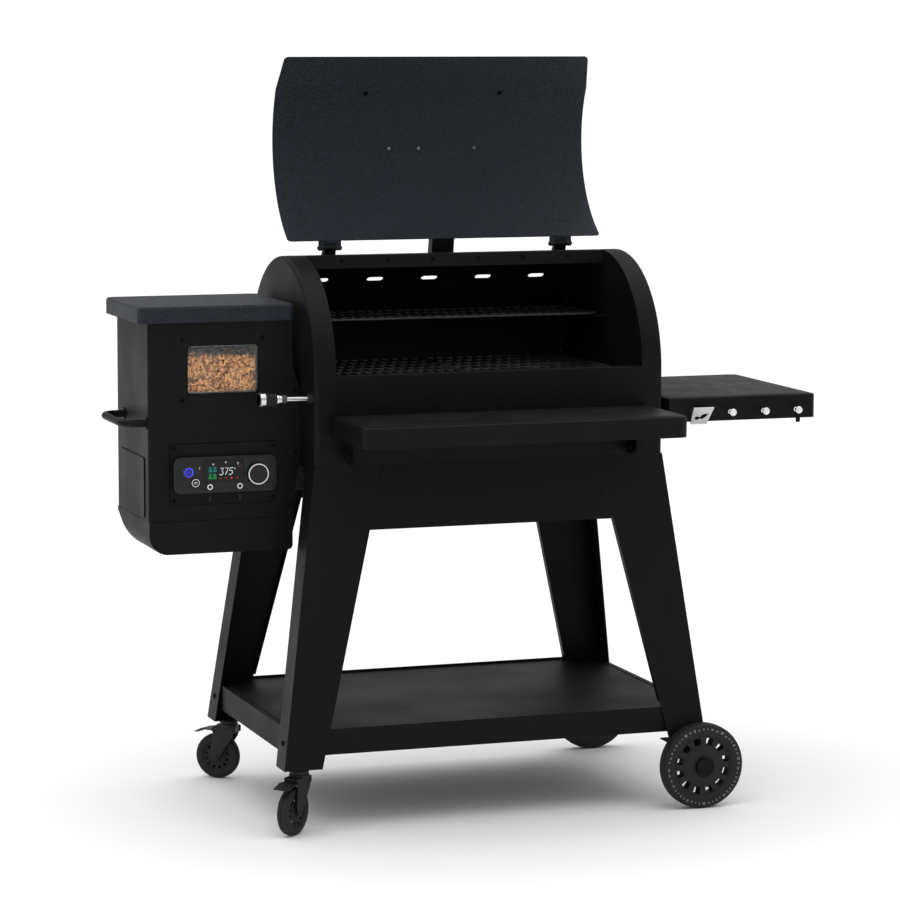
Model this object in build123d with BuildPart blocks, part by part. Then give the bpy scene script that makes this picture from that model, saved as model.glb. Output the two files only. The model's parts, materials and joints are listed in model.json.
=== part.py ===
"""Pellet smoker grill on a splayed cart: barrel, side hopper, folding shelves, casters and wheels.

Every size is in millimetres. Heights are above the floor; X and Y are measured from the
barrel's middle, and the planes below add the offset that centres the whole grill on the origin.
"""
import os
from math import cos, radians, sin, sqrt

from build123d import *

os.makedirs("parts", exist_ok=True)

# ---- driving dimensions ------------------------------------------------------------
BARREL_X = 10.5            # barrel's middle in the whole grill's frame
BARREL_Y = 67.5
SHEET = 2.0                # folded sheet steel
PLATE = 2.5                # legs, aprons and end caps
GAP = 0.3                  # clearance between pieces that move past each other

BARREL_HALF = 400.0        # half width over the end caps
BARREL_R = 250.0           # radius of the barrel's top
BARREL_AXIS_Z = 967.0      # centre of that radius
SEAM_Z = 783.0             # barrel stands on the cart here
RIM = 49.0                 # width of each end cap's rim
INNER_HALF = BARREL_HALF - RIM
LIP_Z = 977.0              # top of the front panel

LEG_BOTTOM_Z = 141.0
LEG_SPREAD_X = 87.0        # how far a leg leans out sideways from seam to foot
LEG_SPREAD_Y = 62.0        # and to the front or the back
LEG_SIDE = 64.0            # width of a leg's side face
LEG_INNER_TOP = 247.0      # half width between the legs at the seam
LEG_INNER_BOTTOM = 402.0
APRON_Z = 645.0
SHELF_TOP_Z = 225.0
SHELF_DEEP = 56.0

HINGE_Y = 52.0             # lid hinge axis
HINGE_Z = 1229.0
LID_OPEN = 138.8           # degrees from closed to the open rest position
LID_R = 251.5              # inner radius of the lid, over the end caps' rims
LID_HALF = 368.0
LID_TIP_HALF = 357.5
LID_START = 80.3           # the closed lid's arc, in degrees from the rear
LID_END = 166.0
LID_SKIRT = 80.0

HOPPER_LEFT = -737.0
HOPPER_RIGHT = -419.0
HOPPER_FRONT = -150.0
HOPPER_BACK = 130.0
HOPPER_TOP = 1090.7
HOPPER_SEAM = 665.5
HOPPER_BOTTOM = 594.0
AUGER_Z = 815.0
AUGER_TUBE_R = 27.0
LEVER_Y = -228.0
LEVER_Z = 929.0

FRONT_SHELF_HALF = 364.0
FRONT_SHELF_Y = -492.0     # its front face
FRONT_SHELF_BACK = -256.0
FRONT_SHELF_TOP = 892.0
FRONT_SHELF_DEEP = 45.0
FRONT_PIVOT_Y = -284.0
FRONT_PIVOT_Z = 808.0
SIDE_SHELF_X0 = 419.0
SIDE_SHELF_X1 = 774.0
SIDE_SHELF_Y0 = -243.0
SIDE_SHELF_Y1 = 200.0
SIDE_SHELF_TOP = 902.0
SIDE_SHELF_DEEP = 53.0
PIVOT_OUT = 33.7           # how far the shelf pivots stand out from their walls
SIDE_PIVOT_X = 434.0
SIDE_PIVOT_Z = 835.0

WHEEL_R = 95.0
WHEEL_X = 466.0
WHEEL_WIDE = 34.0
CASTER_R = 52.0
CASTER_X = -445.0
CASTER_Y = 280.0
CASTER_TRAIL = 27.0
CASTER_HEADING = {"front": 223.0, "rear": 141.0}   # degrees, the way each wheel trails


# ---- planes, in the barrel's own measures -------------------------------------------
def level(z):
    """A horizontal plane at height z, with X and Y from the barrel's middle."""
    return Plane(origin=(BARREL_X, BARREL_Y, z), x_dir=(1, 0, 0), z_dir=(0, 0, 1))


def front(y):
    """An upright plane at y that faces forwards: sketch in X and height, extrude forwards."""
    return Plane(origin=(BARREL_X, BARREL_Y + y, 0), x_dir=(1, 0, 0), z_dir=(0, -1, 0))


def side(x):
    """An upright plane at x that faces right: sketch in Y and height, extrude to the right."""
    return Plane(origin=(BARREL_X + x, BARREL_Y, 0), x_dir=(0, 1, 0), z_dir=(1, 0, 0))


def keep(piece, name):
    """Label a finished piece and write it."""
    piece.label = name
    export_step(piece, f"parts/{name}.step")


def span(low, high):
    """Middle and length of a stretch."""
    return (low + high) / 2, high - low


def d_outline(inset, floor_z):
    """The barrel's end outline, drawn inset from the outside, down to floor_z."""
    r = BARREL_R - inset
    with BuildLine() as outline:
        Polyline((-r, BARREL_AXIS_Z), (-r, floor_z), (r, floor_z), (r, BARREL_AXIS_Z))
        ThreePointArc((r, BARREL_AXIS_Z), (0, BARREL_AXIS_Z + r), (-r, BARREL_AXIS_Z))
    make_face(outline.edges())


def slab(x0, x1, y0, y1, z0, z1, mode=Mode.ADD):
    """A rectangular block between its limits, joined to the piece being built."""
    mid_x, wide = span(x0, x1)
    mid_y, deep = span(y0, y1)
    with BuildSketch(level(z0)) as plan:
        with Locations((mid_x, mid_y)):
            Rectangle(wide, deep)
    extrude(plan.sketch, amount=z1 - z0, mode=mode)


def rod_x(x0, x1, y, z, r, mode=Mode.ADD):
    """A round bar or bore along X."""
    with BuildSketch(side(x0)) as section:
        with Locations((y, z)):
            Circle(r)
    extrude(section.sketch, amount=x1 - x0, mode=mode)


def rod_y(y0, y1, x, z, r, mode=Mode.ADD):
    """A round bar or bore along Y, from y0 back to y1."""
    with BuildSketch(front(y1)) as section:
        with Locations((x, z)):
            Circle(r)
    extrude(section.sketch, amount=y1 - y0, mode=mode)


# ---- barrel --------------------------------------------------------------------------
for name, way in (("end_cap_left", -1), ("end_cap_right", 1)):
    with BuildPart() as end_cap:
        with BuildSketch(side(way * INNER_HALF)):
            d_outline(0, SEAM_Z + GAP)
        extrude(amount=way * RIM)
        outer = end_cap.faces().sort_by(Axis.X)[-1 if way > 0 else 0]
        fillet(outer.edges().sort_by(Axis.Z)[1:], radius=10)
        offset(amount=-PLATE, openings=end_cap.faces().sort_by(Axis.Z)[0])
        if way < 0:
            rod_x(-BARREL_HALF - 5, -INNER_HALF + 5, 0, AUGER_Z, AUGER_TUBE_R + 0.5, Mode.SUBTRACT)
            rod_x(-BARREL_HALF - 5, -INNER_HALF + 5, LEVER_Y, LEVER_Z, 6.06, Mode.SUBTRACT)
    keep(end_cap.part, name)

SLOT_PITCH = 129.0
SLOT_ANGLE = 47.0          # height of the exhaust slots on the shell, in degrees
STRIP_Y = -14.0
STRIP_Z = 1188.0
strip_top = BARREL_AXIS_Z + sqrt(BARREL_R ** 2 - STRIP_Y ** 2)
with BuildPart() as rear_shell:
    with BuildSketch(side(-INNER_HALF + GAP)):
        with BuildLine():
            inner = BARREL_R - SHEET
            inner_top = BARREL_AXIS_Z + sqrt(inner ** 2 - STRIP_Y ** 2)
            lean = radians(45)
            ThreePointArc((STRIP_Y, strip_top),
                          (BARREL_R * cos(lean), BARREL_AXIS_Z + BARREL_R * sin(lean)),
                          (BARREL_R, BARREL_AXIS_Z))
            Polyline((BARREL_R, BARREL_AXIS_Z), (BARREL_R, SEAM_Z + GAP),
                     (inner, SEAM_Z + GAP), (inner, BARREL_AXIS_Z))
            ThreePointArc((inner, BARREL_AXIS_Z),
                          (inner * cos(lean), BARREL_AXIS_Z + inner * sin(lean)),
                          (STRIP_Y + SHEET, inner_top))
            Polyline((STRIP_Y + SHEET, inner_top), (STRIP_Y + SHEET, STRIP_Z),
                     (STRIP_Y, STRIP_Z), (STRIP_Y, strip_top))
        make_face()
    extrude(amount=2 * (INNER_HALF - GAP))
    slot_plane = Plane(
        origin=(BARREL_X, BARREL_Y + (BARREL_R - 12) * cos(radians(SLOT_ANGLE)),
                BARREL_AXIS_Z + (BARREL_R - 12) * sin(radians(SLOT_ANGLE))),
        x_dir=(1, 0, 0), z_dir=(0, cos(radians(SLOT_ANGLE)), sin(radians(SLOT_ANGLE))))
    with BuildSketch(slot_plane):
        with GridLocations(SLOT_PITCH, 1, 5, 1):
            SlotOverall(38, 14)
    extrude(amount=24, mode=Mode.SUBTRACT)
keep(rear_shell.part, "rear_shell")

with BuildPart() as front_panel:
    slab(-INNER_HALF + GAP, INNER_HALF - GAP, -BARREL_R, -BARREL_R + SHEET, SEAM_Z + GAP, LIP_Z)
    slab(-INNER_HALF + GAP, INNER_HALF - GAP, -BARREL_R, -BARREL_R + 22, LIP_Z - SHEET, LIP_Z)
    fillet(front_panel.edges().filter_by(Axis.X).group_by(Axis.Z)[-1].sort_by(Axis.Y)[0], radius=1.5)
keep(front_panel.part, "front_panel")

PAN_FLOOR_Z = 700.0
PAN_BEND_Z = 793.0
with BuildPart() as bottom_pan:
    with BuildSketch(side(-INNER_HALF + 3)):
        with BuildLine():
            top_y = BARREL_R - 2 * SHEET - 1
            Polyline((-top_y, 816), (-top_y, PAN_BEND_Z), (-95, PAN_FLOOR_Z), (95, PAN_FLOOR_Z),
                     (top_y, PAN_BEND_Z), (top_y, 816), (top_y - SHEET, 816),
                     (top_y - SHEET, PAN_BEND_Z + 1.2),
                     (95 - 0.7, PAN_FLOOR_Z + SHEET), (-95 + 0.7, PAN_FLOOR_Z + SHEET),
                     (-top_y + SHEET, PAN_BEND_Z + 1.2), (-top_y + SHEET, 816), close=True)
        make_face()
    extrude(amount=2 * (INNER_HALF - 3))
    for x in (-INNER_HALF + 3, INNER_HALF - 3 - SHEET):
        with BuildSketch(side(x)):
            with BuildLine():
                Polyline((-top_y, PAN_BEND_Z), (-95, PAN_FLOOR_Z), (95, PAN_FLOOR_Z), (top_y, PAN_BEND_Z),
                         close=True)
            make_face()
        extrude(amount=SHEET)
    rod_x(-INNER_HALF, -INNER_HALF + 10, 0, AUGER_Z, AUGER_TUBE_R + 1, Mode.SUBTRACT)
keep(bottom_pan.part, "bottom_pan")


# ---- cart ----------------------------------------------------------------------------
def leg_drop(z):
    """How far down the leg a height is, from 0 at the seam to 1 at the foot."""
    return (SEAM_Z - z) / (SEAM_Z - LEG_BOTTOM_Z)


def leg_outer_x(z):
    return BARREL_HALF + LEG_SPREAD_X * leg_drop(z)


def leg_outer_y(z):
    return BARREL_R + LEG_SPREAD_Y * leg_drop(z)


def leg_inner_x(z):
    return LEG_INNER_TOP + (LEG_INNER_BOTTOM - LEG_INNER_TOP) * leg_drop(z)


def leg_section(z, way_x, way_y, points):
    """One cross section of a leg: points are (inwards from the side, inwards from the face)."""
    corners = [(way_x * (leg_outer_x(z) - a), way_y * (leg_outer_y(z) - b)) for a, b in points]
    with BuildSketch(level(z)) as section:
        with BuildLine():
            Polyline(*corners, close=True)
        make_face()
    return section.sketch


def leg_angle(z):
    """The folded angle of a leg: a wide face to the front or back and a side face."""
    wide = leg_outer_x(z) - leg_inner_x(z)
    return [(0, 0), (wide, 0), (wide, PLATE), (PLATE, PLATE), (PLATE, LEG_SIDE), (0, LEG_SIDE)]


def leg_return(z):
    """The narrow flange turned in along a leg's inner edge."""
    wide = leg_outer_x(z) - leg_inner_x(z)
    return [(wide - PLATE, 0.5), (wide, 0.5), (wide, 16), (wide - PLATE, 16)]


def leg_foot(z):
    """The plate that closes a leg's foot."""
    wide = leg_outer_x(z) - leg_inner_x(z)
    return [(1, 1), (wide - 1, 1), (wide - 1, LEG_SIDE - 1), (1, LEG_SIDE - 1)]


RETURN_END_Z = SHELF_TOP_Z + 12
for name, way_x, way_y in (("leg_front_left", -1, -1), ("leg_front_right", 1, -1),
                           ("leg_rear_left", -1, 1), ("leg_rear_right", 1, 1)):
    with BuildPart() as leg:
        loft([leg_section(z, way_x, way_y, leg_angle(z)) for z in (LEG_BOTTOM_Z, SEAM_Z)], ruled=True)
        loft([leg_section(z, way_x, way_y, leg_return(z)) for z in (RETURN_END_Z, SEAM_Z)], ruled=True)
        extrude(leg_section(LEG_BOTTOM_Z, way_x, way_y, leg_foot(LEG_BOTTOM_Z)), amount=3)
        if way_x < 0:
            with BuildSketch(level(LEG_BOTTOM_Z)):
                with Locations((CASTER_X, way_y * CASTER_Y)):
                    Circle(10)
            extrude(amount=34)
            with BuildSketch(level(LEG_BOTTOM_Z - 1)):
                with Locations((CASTER_X, way_y * CASTER_Y)):
                    Circle(5.55)
            extrude(amount=36, mode=Mode.SUBTRACT)
    keep(leg.part, name)

with BuildPart() as aprons:
    for way in (-1, 1):
        for z in (SEAM_Z, APRON_Z):
            half = leg_inner_x(z) - 0.6
            near = way * leg_outer_y(z)
            with BuildSketch(level(z)):
                with BuildLine():
                    Polyline((-half, near), (half, near), (half, near - way * PLATE),
                             (-half, near - way * PLATE), close=True)
                make_face()
        loft(ruled=True)
keep(aprons.part, "aprons")

SHELF_HALF_X = 472.0
SHELF_HALF_Y = 300.6
with BuildPart() as lower_shelf:
    slab(-SHELF_HALF_X, SHELF_HALF_X, -SHELF_HALF_Y, SHELF_HALF_Y, SHELF_TOP_Z - SHELF_DEEP, SHELF_TOP_Z)
    slab(-SHELF_HALF_X + SHEET, SHELF_HALF_X - SHEET, -SHELF_HALF_Y + SHEET, SHELF_HALF_Y - SHEET,
         SHELF_TOP_Z - SHELF_DEEP - 1, SHELF_TOP_Z - SHEET, Mode.SUBTRACT)
    for way in (-1, 1):
        mid = way * (SHELF_HALF_X - 14)
        slab(mid - 1, mid + 1, -220, 220, SHELF_TOP_Z - 0.5, SHELF_TOP_Z + 1.5)
    slab(-430, 430, SHELF_HALF_Y - SHEET, SHELF_HALF_Y, SHELF_TOP_Z - 0.5, SHELF_TOP_Z + 6)
keep(lower_shelf.part, "lower_shelf")


# ---- lid, drawn in the open position it rests in -------------------------------------
def opened(y, z):
    """Where a point of the closed lid goes when the lid is open."""
    turn = radians(-LID_OPEN)
    dy, dz = y - HINGE_Y, z - HINGE_Z
    return (HINGE_Y + dy * cos(turn) - dz * sin(turn), HINGE_Z + dy * sin(turn) + dz * cos(turn))


def lid_point(r, degrees, along=0.0):
    """A point of the lid's curve, at radius r, and then along the straight skirt."""
    a = radians(degrees)
    y = r * cos(a) - along * sin(a)
    z = BARREL_AXIS_Z + r * sin(a) + along * cos(a)
    return opened(y, z)


LID_MIDDLE = (LID_START + LID_END) / 2
LID_HINGE_X = (-272.0, 272.0)
KNUCKLE_OUT = 26.0         # the lid's two knuckles stand either side of the leaf's one
KNUCKLE_IN = 14.3
LID_OUT = LID_R + SHEET
with BuildPart() as main_lid:
    with BuildSketch(side(-LID_HALF)):
        with BuildLine():
            ThreePointArc(lid_point(LID_R, LID_START), lid_point(LID_R, LID_MIDDLE),
                          lid_point(LID_R, LID_END))
            Polyline(lid_point(LID_R, LID_END), lid_point(LID_R, LID_END, LID_SKIRT),
                     lid_point(LID_OUT, LID_END, LID_SKIRT), lid_point(LID_OUT, LID_END))
            ThreePointArc(lid_point(LID_OUT, LID_END), lid_point(LID_OUT, LID_MIDDLE),
                          lid_point(LID_OUT, LID_START))
            Line(lid_point(LID_OUT, LID_START), lid_point(LID_R, LID_START))
        make_face()
    extrude(amount=2 * LID_HALF)
    taper_z = lid_point(LID_R, LID_END)[1]
    tip_z = lid_point(LID_R, LID_END, LID_SKIRT)[1] + 3
    for way in (-1, 1):
        with BuildSketch(front(400)):
            with BuildLine():
                Polyline((way * LID_HALF, taper_z), (way * LID_TIP_HALF, tip_z),
                         (way * (LID_HALF + 5), tip_z), (way * (LID_HALF + 5), taper_z), close=True)
            make_face()
        extrude(amount=600, mode=Mode.SUBTRACT)
    edge_in = lid_point(LID_R - 0.2, LID_START + 1.2)
    edge_out = lid_point(LID_OUT + 0.4, LID_START + 3.0)
    for x in LID_HINGE_X:
        with BuildSketch(side(x - KNUCKLE_OUT)):      # strap over both knuckles
            with BuildLine():
                Polyline((HINGE_Y - 3.2, HINGE_Z + 8.5), (HINGE_Y - 4.5, HINGE_Z + 14), edge_in, edge_out,
                         (HINGE_Y + 2.6, HINGE_Z + 8.5), close=True)
            make_face()
        extrude(amount=2 * KNUCKLE_OUT)
        for x0 in (x - KNUCKLE_OUT, x + KNUCKLE_IN):
            with BuildSketch(side(x0)):
                with Locations((HINGE_Y, HINGE_Z)):
                    Circle(6)
                with BuildLine():
                    Polyline((HINGE_Y - 4, HINGE_Z), (HINGE_Y - 3.2, HINGE_Z + 9),
                             (HINGE_Y + 2.6, HINGE_Z + 9), (HINGE_Y + 4, HINGE_Z), close=True)
                make_face()
            extrude(amount=KNUCKLE_OUT - KNUCKLE_IN)
        rod_x(x - KNUCKLE_OUT - 1, x + KNUCKLE_OUT + 1, HINGE_Y, HINGE_Z, 3.05, Mode.SUBTRACT)
keep(main_lid.part, "main_lid")

HANDLE_X = 159.0
HANDLE_OUT = 46.0
HANDLE_ANGLE = 163.7       # where its stands meet the lid, measured like LID_START
with BuildPart() as lid_handle:
    grip = lid_point(LID_OUT + HANDLE_OUT, HANDLE_ANGLE)
    foot = lid_point(LID_OUT + GAP / 3, HANDLE_ANGLE)
    rod_x(-215, 215, grip[0], grip[1], 11)
    along = Vector(0, grip[0] - foot[0], grip[1] - foot[1]).normalized()
    for x in (-HANDLE_X, HANDLE_X):
        stand = Plane(origin=(BARREL_X + x, BARREL_Y + foot[0], foot[1]), z_dir=along)
        with BuildSketch(stand):
            Circle(9)
        extrude(amount=HANDLE_OUT)
keep(lid_handle.part, "lid_handle")

LEAF_HALF = KNUCKLE_IN - GAP
with BuildPart() as lid_hinge_leaves:
    for x in LID_HINGE_X:
        with BuildSketch(side(x - LEAF_HALF)):
            with BuildLine():
                Polyline((HINGE_Y - 1, HINGE_Z - 5), (HINGE_Y + 6, HINGE_Z), (HINGE_Y + 20, 1212),
                         (HINGE_Y + 44, 1205), (HINGE_Y + 44, 1200.5), (HINGE_Y + 3, 1210), close=True)
            make_face()
            with Locations((HINGE_Y, HINGE_Z)):
                Circle(6)
        extrude(amount=2 * LEAF_HALF)
        rod_x(x - KNUCKLE_OUT - 2, x + KNUCKLE_OUT + 2, HINGE_Y, HINGE_Z, 3)
    rod_x(-330, 330, 0, BARREL_AXIS_Z, BARREL_R + GAP / 3, Mode.SUBTRACT)
keep(lid_hinge_leaves.part, "lid_hinge_leaves")

with BuildPart() as lid_stop:
    touch = lid_point(LID_OUT + 0.4, LID_START + 5)
    above = lid_point(LID_OUT + 0.4, LID_START + 9)
    with BuildSketch(side(-26)):
        with BuildLine():
            Polyline(touch, above, (above[0] + 8, above[1] - 2), (106, 1202), (106, 1193.5), (76, 1205.5),
                     (76, 1216), close=True)
        make_face()
    extrude(amount=52)
    rod_x(-30, 30, 0, BARREL_AXIS_Z, BARREL_R + GAP / 3, Mode.SUBTRACT)
keep(lid_stop.part, "lid_stop")

# ---- inside the barrel ----------------------------------------------------------------
GRATE_Z = 962.0
GRATE_HALF_Y = 226.0
with BuildPart() as main_grates:
    for mid in (-173.5, 173.5):
        with BuildSketch(level(GRATE_Z - 8)):
            with Locations((mid, 0)):
                Rectangle(343, 2 * GRATE_HALF_Y)
                with GridLocations(38, 48, 8, 9):
                    Rectangle(26, 38, rotation=0, mode=Mode.SUBTRACT)
        extrude(amount=8)
keep(main_grates.part, "main_grates")

RACK_Z = 1077.0
RACK_Y0 = -20.0
RACK_Y1 = 185.0
with BuildPart() as upper_rack:
    mid_y, deep = span(RACK_Y0, RACK_Y1)
    with BuildSketch(level(RACK_Z - 5)):
        with Locations((0, mid_y)):
            Rectangle(680, deep)
            with GridLocations(17, 1, 39, 1):
                Rectangle(12, deep - 12, mode=Mode.SUBTRACT)
    extrude(amount=5)
    for way in (-1, 1):
        x0, x1 = sorted((way * 330, way * 334))
        slab(x0, x1, RACK_Y0 + 10, RACK_Y0 + 30, RACK_Z - 2, RACK_Z + 30)
keep(upper_rack.part, "upper_rack")

with BuildPart() as rack_hangers:
    for way in (-1, 1):
        x0, x1 = sorted((way * 334.5, way * 350.7))
        slab(x0, x1, RACK_Y0 - 20, RACK_Y1 + 10, RACK_Z - 8, RACK_Z - 5.3)
        x0, x1 = sorted((way * 348.7, way * 350.7))
        slab(x0, x1, RACK_Y0 - 20, RACK_Y1 + 10, RACK_Z - 8, RACK_Z + 14)
        x0, x1 = sorted((way * 322, way * 336))
        slab(x0, x1, RACK_Y0 - 20, RACK_Y1 + 10, RACK_Z - 8, RACK_Z - 5.3)
keep(rack_hangers.part, "rack_hangers")

DEFLECT_Z = 900.0
VENT_PITCH = 24.0
with BuildPart() as broiler_plate:
    slab(-345, 345, -205, 205, DEFLECT_Z, DEFLECT_Z + SHEET)
    for y0, y1 in ((-205, -205 + SHEET), (205 - SHEET, 205)):
        slab(-345, 345, y0, y1, DEFLECT_Z - 90, DEFLECT_Z + SHEET)
    with BuildSketch(level(DEFLECT_Z - 1)):
        with GridLocations(VENT_PITCH, 1, 9, 1):
            Rectangle(10, 130)
    extrude(amount=6, mode=Mode.SUBTRACT)
keep(broiler_plate.part, "broiler_plate")

with BuildPart() as burn_pot:
    with BuildSketch(level(PAN_FLOOR_Z + SHEET + 40)):
        Circle(58)
    extrude(amount=120)
    with BuildSketch(level(PAN_FLOOR_Z + SHEET + 45)):
        Circle(55)
    extrude(amount=120, mode=Mode.SUBTRACT)
    with BuildSketch(level(PAN_FLOOR_Z + SHEET + 30)):
        Rectangle(150, 150)
    extrude(amount=10)
    with BuildSketch(level(PAN_FLOOR_Z + SHEET)):
        Rectangle(150, 150)
        Rectangle(144, 144, mode=Mode.SUBTRACT)
    extrude(amount=31)
    rod_x(-70, -40, 0, AUGER_Z, AUGER_TUBE_R + 0.4, Mode.SUBTRACT)
    for row in (772, 790):
        with BuildSketch(front(70)):
            with Locations((0, row)):
                with GridLocations(22, 1, 4, 1):
                    Circle(3)
        extrude(amount=140, mode=Mode.SUBTRACT)
    rod_y(40, 70, 30, 780, 5.1, Mode.SUBTRACT)
keep(burn_pot.part, "burn_pot")

with BuildPart() as igniter:
    rod_y(30, 110, 30, 780, 4.8)
keep(igniter.part, "igniter")

with BuildPart() as temp_probe:
    rod_x(-INNER_HALF, -INNER_HALF + 45, 60, 1030, 3)
    rod_x(-INNER_HALF, -INNER_HALF + 4, 60, 1030, 9)
keep(temp_probe.part, "temp_probe")

AUGER_LEFT = -640.0
with BuildPart() as auger_tube:
    rod_x(AUGER_LEFT, -59, 0, AUGER_Z, AUGER_TUBE_R)
    rod_x(AUGER_LEFT - 1, -58, 0, AUGER_Z, 24.5, Mode.SUBTRACT)
    slab(-632, -552, -20, 20, AUGER_Z, AUGER_Z + 40, Mode.SUBTRACT)
keep(auger_tube.part, "auger_tube")

AUGER_START = Vector(BARREL_X - 620, BARREL_Y, AUGER_Z)
with BuildPart() as auger:
    rod_x(AUGER_LEFT - 10, -66, 0, AUGER_Z, 7)
    with BuildLine() as flight:
        Helix(pitch=48, height=528, radius=14, center=AUGER_START, direction=(1, 0, 0))
    edge_start = flight.line @ 0
    with BuildSketch(Plane(origin=edge_start, x_dir=(edge_start - AUGER_START), z_dir=flight.line % 0)):
        Rectangle(17, 3)
    sweep(path=flight.line, is_frenet=True)
keep(auger.part, "auger")

with BuildPart() as auger_motor:
    slab(-722, AUGER_LEFT - 12, -34, 34, AUGER_Z - 34, AUGER_Z + 34)
    fillet(auger_motor.edges().filter_by(Axis.X), radius=6)
    rod_x(-732, -722, 0, AUGER_Z, 24)
    rod_x(AUGER_LEFT - 12, AUGER_LEFT - 10.3, 0, AUGER_Z, 16)
keep(auger_motor.part, "auger_motor")

FAN_Z = 728.0
FAN_R = 38.0
with BuildPart() as fan_housing:
    slab(-500, -460, -46, 46, FAN_Z - 46, FAN_Z + 46)
    rod_x(-501, -459, 0, FAN_Z, FAN_R + 1, Mode.SUBTRACT)
    slab(-460, -353, -44, 44, FAN_Z - 20, FAN_Z + 44)
    slab(-461, -352, -42, 42, FAN_Z - 18, FAN_Z + 42, Mode.SUBTRACT)
    slab(-500, -496, -4, 4, FAN_Z - 44, FAN_Z + 44)
    rod_x(-500, -474, 0, FAN_Z, 12)
    rod_x(-501, -470, 0, FAN_Z, 3.05, Mode.SUBTRACT)
keep(fan_housing.part, "fan_housing")

with BuildPart() as fan_impeller:
    rod_x(-499, -462, 0, FAN_Z, 3)
    rod_x(-473, -463, 0, FAN_Z, 14)
    rod_x(-465, -463, 0, FAN_Z, FAN_R - 1)
    with BuildSketch(side(-488)):
        with Locations((0, FAN_Z)):
            with PolarLocations(28, 12):
                Rectangle(14, 1.6)
    extrude(amount=24)
keep(fan_impeller.part, "fan_impeller")

# ---- hopper ---------------------------------------------------------------------------
HOPPER_TOUCH = -400.6      # the mounting flanges reach the end cap
WINDOW = (-652.0, -494.0, 936.5, 1041.8)
BEZEL = (-691.0, -454.0, 701.0, 831.0)
ACCESS = (-114.0, 90.0, 672.0, 800.0)
FACE_Y = HOPPER_FRONT


with BuildPart() as hopper_body:
    with BuildSketch(front(HOPPER_BACK)):
        with BuildLine():      # with the stretch on the right that meets the end cap
            Polyline((HOPPER_LEFT, HOPPER_SEAM), (HOPPER_LEFT, HOPPER_TOP), (HOPPER_RIGHT, HOPPER_TOP),
                     (HOPPER_RIGHT, 997), (HOPPER_TOUCH, 937), (HOPPER_TOUCH, 806), (HOPPER_RIGHT, 690),
                     (HOPPER_RIGHT, HOPPER_SEAM), close=True)
        make_face()
    extrude(amount=HOPPER_BACK - HOPPER_FRONT)
    fillet(hopper_body.edges().filter_by(Axis.Z).group_by(Axis.X)[0], radius=9)
    level_faces = hopper_body.faces().filter_by(Axis.Z).sort_by(Axis.Z)
    offset(amount=-SHEET, openings=[level_faces[0], level_faces[-1]])
    slab(WINDOW[0], WINDOW[1], FACE_Y - 5, FACE_Y + 5, WINDOW[2], WINDOW[3], Mode.SUBTRACT)
    slab(BEZEL[0] + 12, BEZEL[1] - 12, FACE_Y - 5, FACE_Y + 5, BEZEL[2] + 12, BEZEL[3] - 12, Mode.SUBTRACT)
    slab(HOPPER_LEFT - 5, HOPPER_LEFT + 5, ACCESS[0] + 8, ACCESS[1] - 8, ACCESS[2] + 8, ACCESS[3] - 8,
         Mode.SUBTRACT)
    rod_x(-425, -395, 0, AUGER_Z, AUGER_TUBE_R + 0.5, Mode.SUBTRACT)
    slab(-425, -395, -46, 46, FAN_Z - 24, FAN_Z + 48, Mode.SUBTRACT)
    slab(-574, -546, HOPPER_BACK - 5, HOPPER_BACK + 5, 706, 734, Mode.SUBTRACT)
keep(hopper_body.part, "hopper_body")

BASE_CORNER = 42.0
with BuildPart() as hopper_base:
    with BuildSketch(side(HOPPER_LEFT)):
        with BuildLine():
            Polyline((HOPPER_FRONT, HOPPER_SEAM - GAP), (HOPPER_FRONT, HOPPER_BOTTOM), (12, HOPPER_BOTTOM),
                     (HOPPER_BACK, HOPPER_SEAM - 8), (HOPPER_BACK, HOPPER_SEAM - GAP), close=True)
        make_face()
    extrude(amount=HOPPER_RIGHT - HOPPER_LEFT)
    long_edges = hopper_base.edges().group_by(Axis.X)[0].group_by(Axis.Z)[0]
    fillet(long_edges, radius=BASE_CORNER)
    fillet(hopper_base.edges().group_by(Axis.X)[-1].group_by(Axis.Z)[0], radius=10)
    top_face = hopper_base.faces().sort_by(Axis.Z)[-1]
    offset(amount=-SHEET, openings=top_face)
    with BuildSketch(level(HOPPER_BOTTOM - 1)):
        with Locations((-560, -60)):
            with GridLocations(14, 1, 12, 1):
                SlotOverall(60, 6, rotation=90)
    extrude(amount=6, mode=Mode.SUBTRACT)
keep(hopper_base.part, "hopper_base")

BIN_TOP = 1086.0
BIN_MID = 930.0
BIN_LOW = AUGER_Z + 27.6
with BuildPart() as hopper_bin:
    with BuildSketch(level(BIN_LOW)):
        with Locations((-592, 0)):
            Rectangle(84, 44)
    with BuildSketch(level(BIN_MID)):
        with Locations((-577.5, -10)):
            Rectangle(300, 262)
    loft(ruled=True)
    with BuildSketch(level(BIN_MID)):
        with Locations((-577.5, -10)):
            Rectangle(300, 262)
    extrude(amount=BIN_TOP - BIN_MID)
    offset(amount=-SHEET, openings=hopper_bin.faces().sort_by(Axis.Z)[-1])
    slab(-632, -552, -20, 20, BIN_LOW - 1, BIN_LOW + 5, Mode.SUBTRACT)
    slab(WINDOW[0] + 4, WINDOW[1] - 4, -150, -130, WINDOW[2] + 4, WINDOW[3] - 4, Mode.SUBTRACT)
keep(hopper_bin.part, "hopper_bin")

with BuildPart() as window_pane:
    slab(WINDOW[0] - 14, WINDOW[1] + 14, FACE_Y + SHEET, FACE_Y + SHEET + 3, WINDOW[2] - 18, WINDOW[3] + 18)
keep(window_pane.part, "window_pane")

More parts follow.
